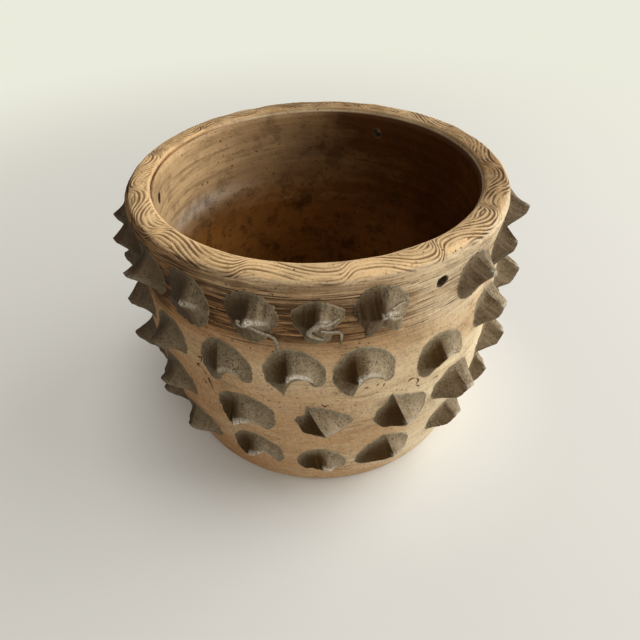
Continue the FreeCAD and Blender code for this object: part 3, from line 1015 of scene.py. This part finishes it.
def smooth_line(corners, where):
    """A smooth line through corners, read at shares of its length."""
    step = np.linalg.norm(np.diff(corners, axis=0), axis=1)
    at = np.concatenate([[0], np.cumsum(step)]) / step.sum()
    slope = np.gradient(corners, at, axis=0)
    k = np.clip(np.searchsorted(at, where, side="right") - 1, 0, len(at) - 2)
    run = (at[k + 1] - at[k])[:, None]
    s = ((where - at[k]) / (at[k + 1] - at[k]))[:, None]
    return (
        corners[k] * (1 + 2 * s) * (1 - s) ** 2 + corners[k + 1] * soft(s)
        + run * (slope[k] * s * (1 - s) ** 2 - slope[k + 1] * s * s * (1 - s)))


# The thorns that face the front: how sharp the ridge is, how crumbled the lip is, then the lines
FANS = {
    ("shoulder_thorn_03", 0): Fan(
        0.9, 0.35,
        (((-17.2, -6.5), (-16.2, 0), (-14.5, 6.5), (-11, 11), (-7, 14), (-2.5, 15.5)),
         ((4, 14.2), (10, 10.8), (14, 6.2), (16.6, 1), (17.4, -4))),
        (((-12.2, -6, 1.5), (-4.9, -1.9, 5), (1.5, 3.7, 9)),
         ((4, 4, 8), (7.2, 3.1, 7), (9.1, -1.3, 4.5), (10.3, -8.3, 1.2), (13.3, -9.6, 0.5),
          (16.4, -7.1, 0.3))),
        (((-15.5, -10), (-12.5, -14), (-8.5, -18)),
         ((-5, -15), (-2, -8), (3, -4), (7.5, -8), (10.5, -11), (14, -10.6), (16.6, -7.6))),
    ),
    ("shoulder_thorn_02", 0): Fan(
        0.55, 1,
        (((-18.5, -5.5), (-17.6, 0), (-15.5, 6), (-12.2, 10.5), (-8.5, 13.5), (-4.5, 15)),
         ((1, 14.6), (7, 12.5), (12, 8.5), (15.6, 3), (17, -2.5))),
        (((-13.4, -6.3, 1.5), (-7.5, -4.1, 5), (-2.7, 3.4, 9.5)),
         ((-0.6, 5.4, 9.2), (2.4, 5.5, 8.8), (5.8, 3.3, 7.5), (8.8, -2.1, 4.5), (11, -8.5, 1.2),
          (14, -8.4, 0.5), (16, -5.7, 0.3))),
        (((-16, -9.5), (-12.5, -13.2), (-9.5, -15.5), (-7, -18.5)),
         ((-5, -13), (-3, -8), (1, -4.5), (5, -5), (8.5, -9.5), (11, -11), (14.3, -9.4), (16.4, -6))),
    ),
    ("shoulder_thorn_01", 0): Fan(
        0, 0.6,
        (((-18, -1.5), (-16.6, 3), (-13.5, 8.5), (-9.5, 12.5), (-5.5, 14.7)),
         ((0, 14.8), (5.5, 13.5), (11, 10.4), (15, 6), (17.5, 1), (18, -3))),
        (((-14.2, -3.4, 1.5), (-9.8, -3, 4.5), (-5.7, 2.2, 11.3)),
         ((-2.8, 3.5, 10), (0.1, 3.7, 9), (3.2, 1.8, 7.5), (7.9, -3.4, 4.8), (12.7, -10, 1.6),
          (15.9, -9.8, 0.6))),
        (((-16.8, -7), (-14.3, -13), (-10.8, -17), (-6, -20)),
         ((-4, -15), (0, -9), (5, -8), (10, -10), (13.8, -13), (16.6, -10.8))),
    ),
    ("belly_thorns_01", 1): Fan(
        0.2, 1,
        (((-18.5, 1), (-17, 5), (-13.5, 9.2), (-8, 12.4)),
         ((0, 14), (5.5, 13.4), (10.5, 11.4), (15.3, 8), (19, 3.5), (20.5, -1))),
        (((-14.8, -1.8, 2.2), (-9.1, -1.3, 6.5), (-0, 2.4, 13)),
         ((2, 2.2, 11.5), (3.4, 0.4, 9.2), (4.9, -2, 6.5), (6.5, -6.8, 3.6), (9, -11.4, 1.5),
          (12.4, -13.8, 0.6), (16.6, -10, 0.4))),
        (((-16, -5), (-12, -9), (-6, -11)),
         ((-1, -8), (4, -8), (8, -12.5), (12, -15.3), (16.8, -11))),
    ),
    ("belly_thorns_01", 0): Fan(
        1, 0.2,
        (((-18.8, 1.2), (-14.5, 2.4), (-11.2, 3.6), (-10.6, 8), (-9.6, 12.6)),
         ((-5, 11.6), (1, 9.6), (7, 7), (12, 3.6), (15.8, 0.2), (18, -2.5))),
        (((-15.4, -2.6, 1), (-12.3, -6.9, 4), (-6.7, -2, 8.5), (0.4, 2.9, 14)),
         ((2.9, 2.2, 12), (5.6, 0.5, 9.5), (8.6, -1, 6.8), (11.8, -3.3, 3.6), (14.6, -3.5, 1.6))),
        (((-15, -5), (-10, -7.5), (-2, -8)),
         ((4, -6), (9, -6), (13, -6.2), (16, -5))),
    ),
    ("belly_thorns_08", 1): Fan(
        1, 0.4,
        (((-19.5, -2.5), (-16.8, 1.5), (-14.8, 5), (-11.5, 9), (-7.6, 16)),
         ((-3.5, 13.2), (3, 10.8), (10, 8), (15, 4.5), (18, -1), (18.5, -6))),
        (((-17, -4.9, 1), (-15.1, -7.5, 3), (-10.9, -3.9, 7.5), (-4.4, 3.1, 14)),
         ((-0.3, -0.1, 11.5), (5.5, -4.2, 8), (11.3, -6.8, 4), (15.9, -7.1, 1.4))),
        (((-16.5, -7.5), (-11, -10), (-4, -10)),
         ((4, -9), (10, -10), (15, -11), (17.8, -9.5))),
    ),
    ("foot_thorns_01", 1): Fan(
        0.2, 0.9,
        (((-17.5, -5), (-16.5, 2), (-13, 9), (-8.5, 13.8), (-4, 15.5)),
         ((3, 15), (9, 11.6), (14, 6.5), (17, 0.5), (18, -5))),
        (((-12.8, -3.3, 3), (-7.2, 0.1, 6.5), (-0.4, 5.1, 10)),
         ((2.3, 4.9, 9.3), (4.3, 3.5, 7), (5.9, 2.5, 4.8), (7.2, -2, 2.8), (8.9, -9.2, 1.2),
          (12.4, -14.6, 0.5), (16.2, -10.3, 0.3))),
        (((-15, -8), (-10, -11), (-4, -12)),
         ((1, -6), (5, -7), (8.5, -12), (12, -16.4), (16.2, -11.6))),
    ),
    ("foot_thorns_01", 0): Fan(
        0.25, 1,
        (((-17, -5.5), (-16, 1), (-13.5, 7), (-9, 12.4), (-1.5, 15)),
         ((3.5, 14), (8.6, 10.4), (12.6, 5.5), (15, 0), (16.5, -6))),
        (((-14.7, -6.7, 1), (-10.6, -3.8, 4), (-5.1, 1.8, 7), (2, 4.1, 9.5)),
         ((5.1, 1.3, 8.6), (7.5, -1.5, 5.5), (10.6, -5.1, 2.8), (13.8, -7.7, 1))),
        (((-14.5, -9), (-9, -10), (-2, -11)),
         ((4, -12), (9, -10.5), (14.2, -10))),
    ),
    ("foot_thorns_09", 0): Fan(
        1, 0.5,
        (((-19, -8), (-17.5, 0), (-14, 7.5), (-9.5, 13), (-5, 16), (-0.6, 19)),
         ((5, 17), (11, 13), (16, 7.5), (19, 1), (19.5, -5))),
        (((-17.7, -8.8, 1.4), (-13.3, -5.8, 4), (-7.8, -1.1, 6.8), (3, 4.4, 9.8)),
         ((6.5, 2.3, 8), (13.4, -3.4, 3.6), (17.9, -6, 1))),
        (((-16, -11), (-9, -13), (0, -13)),
         ((7, -12), (13, -12), (18, -9.5))),
    ),
    ("shoulder_thorn_18", 0): Fan(
        0.2, 0.4,
        (((-18, 1), (-16.5, 6), (-12.8, 11.6), (-7.5, 14.3), (-2, 14.6)),
         ((5, 13), (11, 9.2), (15.8, 4.4), (18, -2))),
        (((-16.9, -4.6, 1), (-13.1, -3.8, 3.2), (-9.8, -1.4, 6.2), (-5.1, 4.1, 9)),
         ((-0.4, 2.9, 7), (6.2, -1.7, 4.5), (11.3, -4.4, 4))),
        (((-17, -7.5), (-14, -13), (-8, -15.4), (-3, -12.4)),
         ((3, -9), (9, -7.5), (14.5, -7.5))),
    ),
    ("neck_thorn_04", 0): Fan(
        0.3, 0.5,
        (((-16, -8), (-14.8, 0), (-12.6, 7.5), (-8, 13), (0.5, 15.5)),
         ((7, 12.8), (11, 8), (13, 2), (13.6, -4))),
        (((-7.6, -5, 4), (4.1, 1.6, 10)),
         ((6.5, 1.1, 8.6), (9, -0.3, 6.6), (11.4, -2, 4), (13.2, -4, 1.2))),
        (((-18, -12), (-15, -16.5), (-10, -19.5), (-3, -20.5)),
         ((4, -20), (9.5, -17.5), (12.5, -11.5))),
    ),
    ("neck_thorn_03", 0): Fan(
        0.2, 0.8,
        (((-14, -1), (-13, 4), (-9.5, 8.6), (-5, 11.4), (0, 12.2)),
         ((6, 11.4), (10.2, 8.4), (13.6, 3.4), (15, -4))),
        (((-9, -3.4, 3.5), (1.6, 1.8, 12)),
         ((5.1, 2.3, 10.5), (8.3, 0.6, 8), (11.6, -2.5, 4.5), (13.9, -4.7, 1.4))),
        (((-12, -7.5), (-9.6, -13), (-6, -17), (-1, -19)),
         ((4, -18.6), (8.5, -15.4), (11, -10.5), (13.5, -7))),
    ),
    ("neck_thorn_02", 0): Fan(
        0.2, 0.8,
        (((-13.6, -1), (-9.8, 5.4), (-5, 9), (0, 10.2)),
         ((4.5, 8.6), (8.5, 6.8), (12, 4.6), (14, 1))),
        (((-9, -2.3, 3.5), (-1.1, 1.8, 10.5)),
         ((1.1, 4.2, 9.8), (4.2, 3, 8), (8.5, 0.2, 4.6), (12.4, -0.3, 1.2))),
        (((-10.5, -6.5), (-8, -11.5), (-6, -15.8), (-0.5, -17)),
         ((4, -16.4), (7.5, -12), (10, -6), (12.8, -2.6))),
    ),
    ("neck_thorn_01", 0): Fan(
        0.5, 0.8,
        (((-15, 1), (-13.5, 6), (-9.2, 12), (-5, 14.4), (-2, 14.5)),
         ((3.5, 13.4), (9, 9.6), (13, 5), (15.4, 0), (15, -6))),
        (((-12.5, -1.8, 4), (-7.7, -0.7, 8), (-2.5, 2.1, 11)),
         ((1.7, 1.1, 8.5), (7.3, -3.8, 4.6), (12.5, -7.2, 1.4))),
        (((-13, -6), (-9, -12), (-6.5, -18.8), (1, -14)),
         ((6, -16), (10.5, -18.2), (12, -13), (14, -8.4))),
    ),
}

# Strings of clay that the pulled tips left behind: across, up, out and thickness in millimetres
STRANDS = {
    "neck_thorn_03": (
        ((1.6, 1.8, 11.5, 2.2), (5.6, -6, 6.5, 2.2), (9.5, -12, 3, 2.4), (12.9, -16.5, 1.4, 2.6),
         (13.9, -21.5, 1.2, 2.2), (14.6, -24.5, 1, 1.6)),
        ((-1, 2.5, 11.5, 2.8), (-1, -2, 9, 3.2), (0.5, -7, 5, 2.4), (2, -12, 1.5, 1.2)),
    ),
    "neck_thorn_02": (
        ((2.8, 4.8, 10, 2.2), (-2.3, 0.4, 9.8, 3.2), (-3.5, -5.3, 8, 3.2), (0, -10.5, 5, 2.4),
         (2.8, -13.8, 2.5, 1.2)),
        ((1.5, -3.5, 7, 1.6), (6, -7.5, 4.5, 2), (9.9, -9.8, 2.8, 2.4), (11.6, -12, 2.4, 2.6),
         (11.4, -16.5, 1.2, 1.8)),
        ((1, 3, 10.5, 2.0), (5, 1.5, 9, 2.2), (10, 2, 6, 1.4)),
    ),
    "neck_thorn_01": (
        ((-1.5, 4, 11, 1.8), (0.5, 0.5, 11.5, 2.6), (4, -4, 9.5, 2.8), (9, -6.5, 6.5, 1.8)),
        ((1, 4.5, 10.5, 1.4), (6, 3, 9, 2.0), (11, 1, 6, 1.2)),
    ),
}

# Small gouges in the wall: how dark each is, then its corners as degrees round and millimetres up
GOUGES = (
    (1.0, ((-127.1, 112.0), (-125.1, 114.0), (-125.8, 109.0), (-127.4, 106.0), (-125.6, 104.6),
     (-124.3, 101.4))),
    (1.0, ((-124.0, 99.5), (-123.7, 97.0), (-123.2, 89.2))),
    (1.0, ((-126.1, 96.6), (-125.5, 92.0))),
    (1.0, ((-66.2, 101.0), (-65.4, 103.2), (-63.7, 102.0), (-62.7, 99.2), (-63.5, 96.6), (-62.2, 94.0))),
    (1.0, ((-57.7, 94.2), (-55.4, 93.8))),
    (1.0, ((-108.5, 172.6), (-107.9, 171.2))),
    (1.0, ((-101.6, 171.5), (-101.0, 170.6))),
    (1.0, ((-112.9, 172.8), (-112.3, 172.2))),
    (1.0, ((-90.7, 97.0), (-89.7, 94.8), (-88.9, 96.2))),
    (1.0, ((-98.5, 147.6), (-96.5, 146.9), (-95.2, 146.8))),
    (0.3, ((-79.4, 106.0), (-78.4, 106.6), (-77.9, 106.2))),
    (0.3, ((-75.9, 106.4), (-75.2, 107.4))),
    (0.3, ((-73.9, 104.6), (-73.6, 105.9), (-73.4, 107.2))),
)

# A string's thickness over its half width, and its half height over its half width
STRING_SLIM, STRING_FLAT = 2.9, 0.6
STRING_MARKS = {"middle": 0.8, "glint": 0.0, "lip": 0.3, "scoop": 0.0, "strip": 0.5, "soot": 0.3, "ray": 0.0}
# How far out a gouge lies, and the thicknesses that its corners take in turn, in millimetres
GOUGE_OUT, GOUGE_WIDTHS = -0.15, (0.75, 2.1)
GOUGE_MARKS = {"inside": 0, "neck": 0, "dust": 0, "rust": 0, "sheen": 0, "rim": 0, "shade": 0, "warmth": 0.5}
# How far a fan's edge frays, as a share of its size, and how far its skirt goes into the wall
FRAYED, SMOOTH = 0.06, 0.016
SUNK = -0.8 * MM


def drawn_thorn(settings, seed, fan, fray):
    """Points across, up and out of one thorn as a closed sheet, its faces and its marks."""
    shelf, under, edge = settings.shelf_rows, settings.under_rows, settings.edge
    q = np.linspace(-1, 1, settings.columns + 1)
    u = np.sign(q) * np.abs(q) ** 1.15
    t = np.abs(u)
    x = (u + 1) / 2 * 0.999
    close = 1 - t**10

    def noise(across, key):
        return wander(x, across, seed + key)

    frill = 1 + fray * (0.8 * noise(23, 1) + noise(44, 2)) + 0.018 * noise(34, 11)
    top_a, top_b = fan.read(fan.upper, u) * frill
    low_a, low_b = fan.read(fan.low, u) * frill
    lip_a, lip_b, lip_n = fan.read(fan.lip, u)
    tear = settings.tear * (noise(15, 3) + 1.1 * noise(40, 4))
    tear = tear * (0.4 + 0.9 * fan.crumb) * np.minimum(lip_n / (4 * MM), 1) * close
    lip_n, lip_b = np.maximum(lip_n + 0.6 * tear, 0.15 * MM), lip_b + 0.8 * tear
    proud = np.minimum(lip_n / lip_n.max(), 1)

    blend = 0.04 + 0.5 * (1 - fan.sharp) ** 2
    hollow = 1.25 + 1.75 * ease(-u, -0.8 * blend, 0.4 * blend + 0.03) * (1 - 0.6 * t**2)
    cupped = ease(hollow, 1.3, 2.7) * (1 - t**3)
    ridge = fan.sharp * np.exp(-t / 0.07)
    power = 0.9 * ridge + hollow * (1 - ridge)
    ripple = noise(26, 6) + 0.6 * noise(70, 7)
    streak = (0.02 + 1.3 * fray) * MM * ripple
    floor = 0.5 * edge * close + SUNK * (1 - close)
    rows = []

    def add(start, end, s, n, deep=0.0, lip=0.0, scoop=0.0):
        a, b = (low + (high - low) * s for low, high in zip(start, end))
        rows.append(np.stack(np.broadcast_arrays(a, b, n, deep, lip, scoop)))

    def skirt(a, b):
        add((a * 1.01, b * 1.01), (a * 1.01, b * 1.01), 0, SUNK)

    skirt(top_a, top_b)
    slope = np.hypot(lip_a - top_a, lip_b - top_b)
    for s in np.arange(shelf + 1) / shelf:
        n = lip_n * s**power + edge * (1 - s) * close + SUNK * (1 - close)
        n = n + streak * math.sin(math.pi * min(s * 1.1, 1)) * close
        lumps = 0.3 * cloud(x, s, 14, 9, seed + 8) + 0.35 * cloud(x, s, 5, 3, seed + 12)
        n = np.maximum(n + lumps * MM * close * (1 - s) * ease(s, 0, 0.2), floor)
        # The scoop mark: brown clay and painted shade, darkest deep in the cup by the lip
        scoop = cupped * ease(s, 0.0, 0.65)
        add((top_a, top_b), (lip_a, lip_b), s, n, slope * s, ease(s, 0.86, 0.98), scoop)

    thick = (0.25 + 2.3 * proud) * MM * (0.75 + 0.5 * noise(12, 9))
    torn_b = np.maximum(lip_b - thick, low_b + 0.3 * (lip_b - low_b))
    torn_n = np.maximum(lip_n - 0.3 * thick, 0.6 * lip_n)
    torn_n = torn_n + 0.5 * settings.tear * noise(33, 10) * proud * close
    fall = np.hypot(low_a - lip_a, low_b - torn_b)
    # Painted shade under the lip and on the left lobes, where the tip would cast its shadow
    shaded = 0.4 * ease(-u, 0.02, 0.25)
    for s in np.arange(under + 1) / under:
        n = torn_n * (1 - s) ** 1.2 + edge * s * close + SUNK * (1 - close)
        n = np.maximum(n + streak * math.sin(math.pi * s) * close, floor)
        scoop = 0.2 * (1 - s) + shaded * (1 - 0.4 * s)
        add((lip_a, torn_b), (low_a, low_b), s, n, fall * (1 - s), 1 - ease(s, 0.02, 0.2), scoop)
    skirt(low_a, low_b)

    a, b, n, deep, lip, scoop = np.stack(rows, 1)
    count, cols = a.shape
    i, j = np.meshgrid(np.arange(count), np.arange(cols - 1), indexing="ij")
    here, after = i * cols + j, (i + 1) % count * cols + j
    faces = np.stack([here, after, after + 1, here + 1], -1).reshape(-1, 4).tolist()
    marks = {
        "middle": ease(deep, 0.0, 5 * MM) * (1 - t**6),
        "lip": lip * proud * ease(u, -0.1, 0.03) * (1 - ease(u, 0.45, 0.75)) * fan.crumb,
        "scoop": np.clip(scoop * fan.dark, 0, 1),
        # Painted highlight on the right face
        "glint": ease(u, 0.08, 0.35) * (1 - ease(u, 0.6, 0.95)) * ease(deep, 3 * MM, 10 * MM),
        # The soot falls off over each thorn's right face, leaving painted shade on its left face
        "soot": 1 - 0.8 * ease(u, 0.0, 0.35) + 0 * a,
        "strip": np.clip(ripple, 0, 1) * (0.3 + 10 * fray) + 0 * a,
        "ray": ease(noise(90, 13), 0.0, 0.6) * 12 * fray * ease(deep, 0.2 * MM, 2 * MM),
    }
    return np.stack([a, b, n], -1).reshape(-1, 3), faces, marks


def on_wall(pot, bearing, level, local):
    """Points across, up and out from a place on the pot's wall, as points in space."""
    z = level + local[:, 1]
    radius = pot.outline.outside(z)
    angle = bearing + local[:, 0] / radius
    radius = radius + pot.outside_push(angle, z) + local[:, 2]
    return np.stack([radius * np.cos(angle), radius * np.sin(angle), z], -1)


def bed_of(local, reach=1.2):
    """A function that gives how far out a thorn's surface lies, in millimetres, at places across and up."""
    points = local / MM

    def bed(places):
        away = np.hypot(points[:, 0] - places[:, :1], points[:, 1] - places[:, 1:])
        return np.where(away < reach, np.maximum(points[:, 2], 0), 0).max(1)

    return bed


def strand(corners, bed=None, sides=8, steps=7):
    """A tapering string through corners of across, up, out and thickness, no higher than just on its bed."""
    corners = np.array(corners, dtype=float)
    corners[:, 3] /= STRING_SLIM
    ends = np.concatenate([2 * corners[:1] - corners[1:2], corners, 2 * corners[-1:] - corners[-2:-1]])
    path = []
    for k in range(len(corners) - 1):
        p0, p1, p2, p3 = ends[k : k + 4]
        bend, twist = 2 * p0 - 5 * p1 + 4 * p2 - p3, 3 * p1 - p0 - 3 * p2 + p3
        for s in np.arange(steps) / steps:
            path.append(0.5 * (2 * p1 + (p2 - p0) * s + bend * s**2 + twist * s**3))
    path = np.array([*path, corners[-1]])
    if bed:
        lying = np.minimum(path[:, 2], bed(path[:, :2]) + 0.7 * path[:, 3])
        path[:, 2] = np.convolve(np.pad(lying, 2, "edge"), np.full(5, 0.2), "valid")
    way = np.gradient(path[:, :3], axis=0)
    way /= np.linalg.norm(way, axis=1)[:, None]
    across = np.cross(way, (0.13, 0.21, 0.97))
    across /= np.linalg.norm(across, axis=1)[:, None]
    up = np.cross(way, across)
    turn = ring_angles(sides)[:, None]
    ring = np.cos(turn) * across[:, None, :] + STRING_FLAT * np.sin(turn) * up[:, None, :]
    points = (path[:, None, :3] + path[:, None, 3:] * ring).reshape(-1, 3)
    return points * MM, turned_faces(len(path), sides)


class PLANTER_OT_gouges(bpy.types.Operator):
    """Make the dark slivers that a tool left in the wall"""

    bl_idname = "planter.gouges"
    bl_label = "Gouges"

    def execute(self, context):
        pot = Pot(context.scene.planter.pot)
        heap = Heap()
        for dark, line in GOUGES:
            bearing, level = math.radians(line[0][0]), line[0][1]
            wide = float(pot.outline.outside(level * MM)) / MM
            corners = [
                ((math.radians(turn) - bearing) * wide, z - level, GOUGE_OUT, GOUGE_WIDTHS[k % 2])
                for k, (turn, z) in enumerate(line)]
            local, faces = strand(corners)
            heap.add(on_wall(pot, bearing, level * MM, local), faces, GOUGE_MARKS | {"groove": dark})
        mesh_piece("gouges_clay", *heap.gathered(), "thrown_clay", "buff_clay")
        return {"FINISHED"}


class PLANTER_OT_thorns(bpy.types.Operator):
    """Make one row of thorns, a piece to each of its solids' nodes"""

    bl_idname = "planter.thorns"
    bl_label = "Row of thorns"
    neck_soot = 0.66
    # How much painted shade darkens the thorns at the far left
    far_shade = 1.2

    row: bpy.props.StringProperty(name="Row", description="The row whose thorns are made", default=NECK_ROW)

    def execute(self, context):
        settings = context.scene.planter.thorns
        pot = Pot(context.scene.planter.pot)
        names = sorted(node for node in frame["nodes"] if node.startswith(self.row))
        if not names:
            raise RuntimeError(f"the frame has no row named {self.row}")
        on_neck = self.row == NECK_ROW
        soot = self.neck_soot if on_neck else 0.0
        for k, node in enumerate(names):
            heap = Heap()
            for m, spot in enumerate(spots_of(node, pot.outline)):
                seed = 1000 * (ROWS.index(self.row) + 1) + 20 * k + 10 * m
                drawn = FANS.get((node, m))
                fan = drawn or Fan.loose(spot, seed, self.row)
                fray = FRAYED if on_neck and drawn else SMOOTH
                local, faces, marks = drawn_thorn(settings, seed, fan, fray)
                # Painted shade on the thorns at the far left
                far_left = max(-math.cos(spot.bearing), 0) ** 1.2
                marks["soot"] = marks["soot"] * soot + self.far_shade * far_left
                heap.add(on_wall(pot, spot.bearing, spot.level, local), faces, marks)
                for corners in STRANDS.get(node, ()):
                    string, faces = strand(corners, bed_of(local))
                    heap.add(on_wall(pot, spot.bearing, spot.level, string), faces, STRING_MARKS)
            mesh_piece(f"{node}_clay", *heap.gathered(), "smeared_clay", "grey_clay", node)
        return {"FINISHED"}


# Stage

SENSOR = 36.0
FLOOR_HALF = 6.0
# From where to where the floor turns bright and then to its far colour, and how bright it is before that
BRIGHT_FROM, FAR_FROM, BRIGHT_SHARE = (0.1, 0.2), (0.3, 1.0), 0.58
LAMP_AIM = Vector((0, 0, 0.09))
# Each lamp's name, place and size
LAMPS = (("key", (1.3, 0.25, 1.0), 1.7), ("fill", (0.8, -1.35, 0.55), 1.0))
SEEN_RAYS = ("Is Camera Ray", "Is Glossy Ray", "Is Transmission Ray")


class PLANTER_OT_stage(bpy.types.Operator):
    """Make the floor, the lamps and the camera"""

    bl_idname = "planter.stage"
    bl_label = "Stage"

    def execute(self, context):
        settings = context.scene.planter.stage
        self.floor(settings)
        self.world(context.scene, settings)
        self.lamps(context.scene, settings)
        self.camera(context.scene, settings)
        context.scene.view_settings.view_transform = "Standard"
        return {"FINISHED"}

    @staticmethod
    def floor(settings):
        corners = [(x * FLOOR_HALF, y * FLOOR_HALF, 0) for x, y in ((-1, -1), (1, -1), (1, 1), (-1, 1))]
        mesh = bpy.data.meshes.new("floor")
        mesh.from_pydata(corners, [], [(0, 1, 2, 3)])
        floor = bpy.data.objects.new("floor", mesh)
        bpy.context.collection.objects.link(floor)

        material = bpy.data.materials.new("pale_floor")
        start = bare(material)
        place = start.node("ShaderNodeTexCoord", out="Object")
        away = place.node("ShaderNodeVectorMath", {0: place}, "Value", operation="LENGTH")
        far = away.between(*FAR_FROM)
        colour = (place.grain(9.0) * 0.3 + far).tint(settings.floor, settings.distance)
        lit = start.node("ShaderNodeBsdfPrincipled", {"Base Color": colour, "Roughness": 0.9})
        plain = far.tint(settings.bright_floor, settings.distance)
        glow = start.node("ShaderNodeEmission", {"Color": plain, "Strength": 1.0})
        camera, glossy, through = (start.node("ShaderNodeLightPath", out=name) for name in SEEN_RAYS)
        bright = away.between(*BRIGHT_FROM) * BRIGHT_SHARE + far * (1 - BRIGHT_SHARE)
        seen = (camera + glossy + through).limited() * bright
        mixed = start.node("ShaderNodeMixShader", {0: seen, 1: lit, 2: glow})
        start.node("ShaderNodeOutputMaterial", {"Surface": mixed}, out=None)
        mesh.materials.append(material)

    @staticmethod
    def world(scene, settings):
        world = bpy.data.worlds.new("even_light")
        start = bare(world)
        even = start.node("ShaderNodeBackground", {"Color": settings.sky_colour, "Strength": settings.sky})
        pale = start.node("ShaderNodeBackground", {"Color": settings.distance, "Strength": 1.0})
        seen = start.node("ShaderNodeLightPath", out="Is Camera Ray")
        mixed = start.node("ShaderNodeMixShader", {0: seen, 1: even, 2: pale})
        start.node("ShaderNodeOutputWorld", {"Surface": mixed}, out=None)
        scene.world = world

    @staticmethod
    def lamps(scene, settings):
        for name, place, size in LAMPS:
            light = bpy.data.lights.new(name, "AREA")
            light.shape, light.size = "DISK", size
            light.energy = getattr(settings, f"{name}_power")
            light.color = getattr(settings, f"{name}_colour")[:3]
            lamp = bpy.data.objects.new(name, light)
            scene.collection.objects.link(lamp)
            lamp.location = place
            lamp.rotation_euler = (LAMP_AIM - Vector(place)).to_track_quat("-Z", "Y").to_euler()

    @staticmethod
    def camera(scene, settings):
        data = bpy.data.cameras.new("camera")
        data.sensor_width, data.lens = SENSOR, settings.lens
        data.clip_start = 0.01
        camera = bpy.data.objects.new("camera", data)
        scene.collection.objects.link(camera)
        tilt = Matrix.Rotation(math.pi / 2 - settings.camera_pitch, 4, "X")
        roll = Matrix.Rotation(settings.camera_roll, 4, "Z")
        camera.matrix_world = Matrix.Translation(Vector(settings.camera_place)) @ tilt @ roll
        scene.camera = camera


class PLANTER_PT_panel(bpy.types.Panel):
    """The planter's settings and the buttons that make its pieces"""

    bl_label = "Clay planter"
    bl_idname = "PLANTER_PT_panel"
    bl_space_type = "VIEW_3D"
    bl_region_type = "UI"
    bl_category = "Planter"

    def draw(self, context):
        planter = context.scene.planter
        for group in (planter.pot, planter.thorns, planter.stage):
            box = self.layout.box()
            for key in group.__annotations__:
                box.prop(group, key)
        for maker in MAKERS:
            self.layout.operator(maker.bl_idname)


MAKERS = (
    PLANTER_OT_floor_slab, PLANTER_OT_thrown_wall, PLANTER_OT_combed_neck, PLANTER_OT_combed_rim,
    PLANTER_OT_gouges, PLANTER_OT_thorns, PLANTER_OT_stage,
)
CLASSES = (PotSettings, ThornSettings, StageSettings, PlanterSettings, *MAKERS, PLANTER_PT_panel)


def register():
    for made in CLASSES:
        bpy.utils.register_class(made)
    bpy.types.Scene.planter = bpy.props.PointerProperty(type=PlanterSettings)


def unregister():
    del bpy.types.Scene.planter
    for made in reversed(CLASSES):
        bpy.utils.unregister_class(made)


def main():
    register()
    bpy.ops.planter.floor_slab()
    bpy.ops.planter.thrown_wall()
    bpy.ops.planter.combed_neck()
    bpy.ops.planter.combed_rim()
    bpy.ops.planter.gouges()
    for row in ROWS:
        bpy.ops.planter.thorns(row=row)
    bpy.ops.planter.stage()


if __name__ == "__main__":
    main()
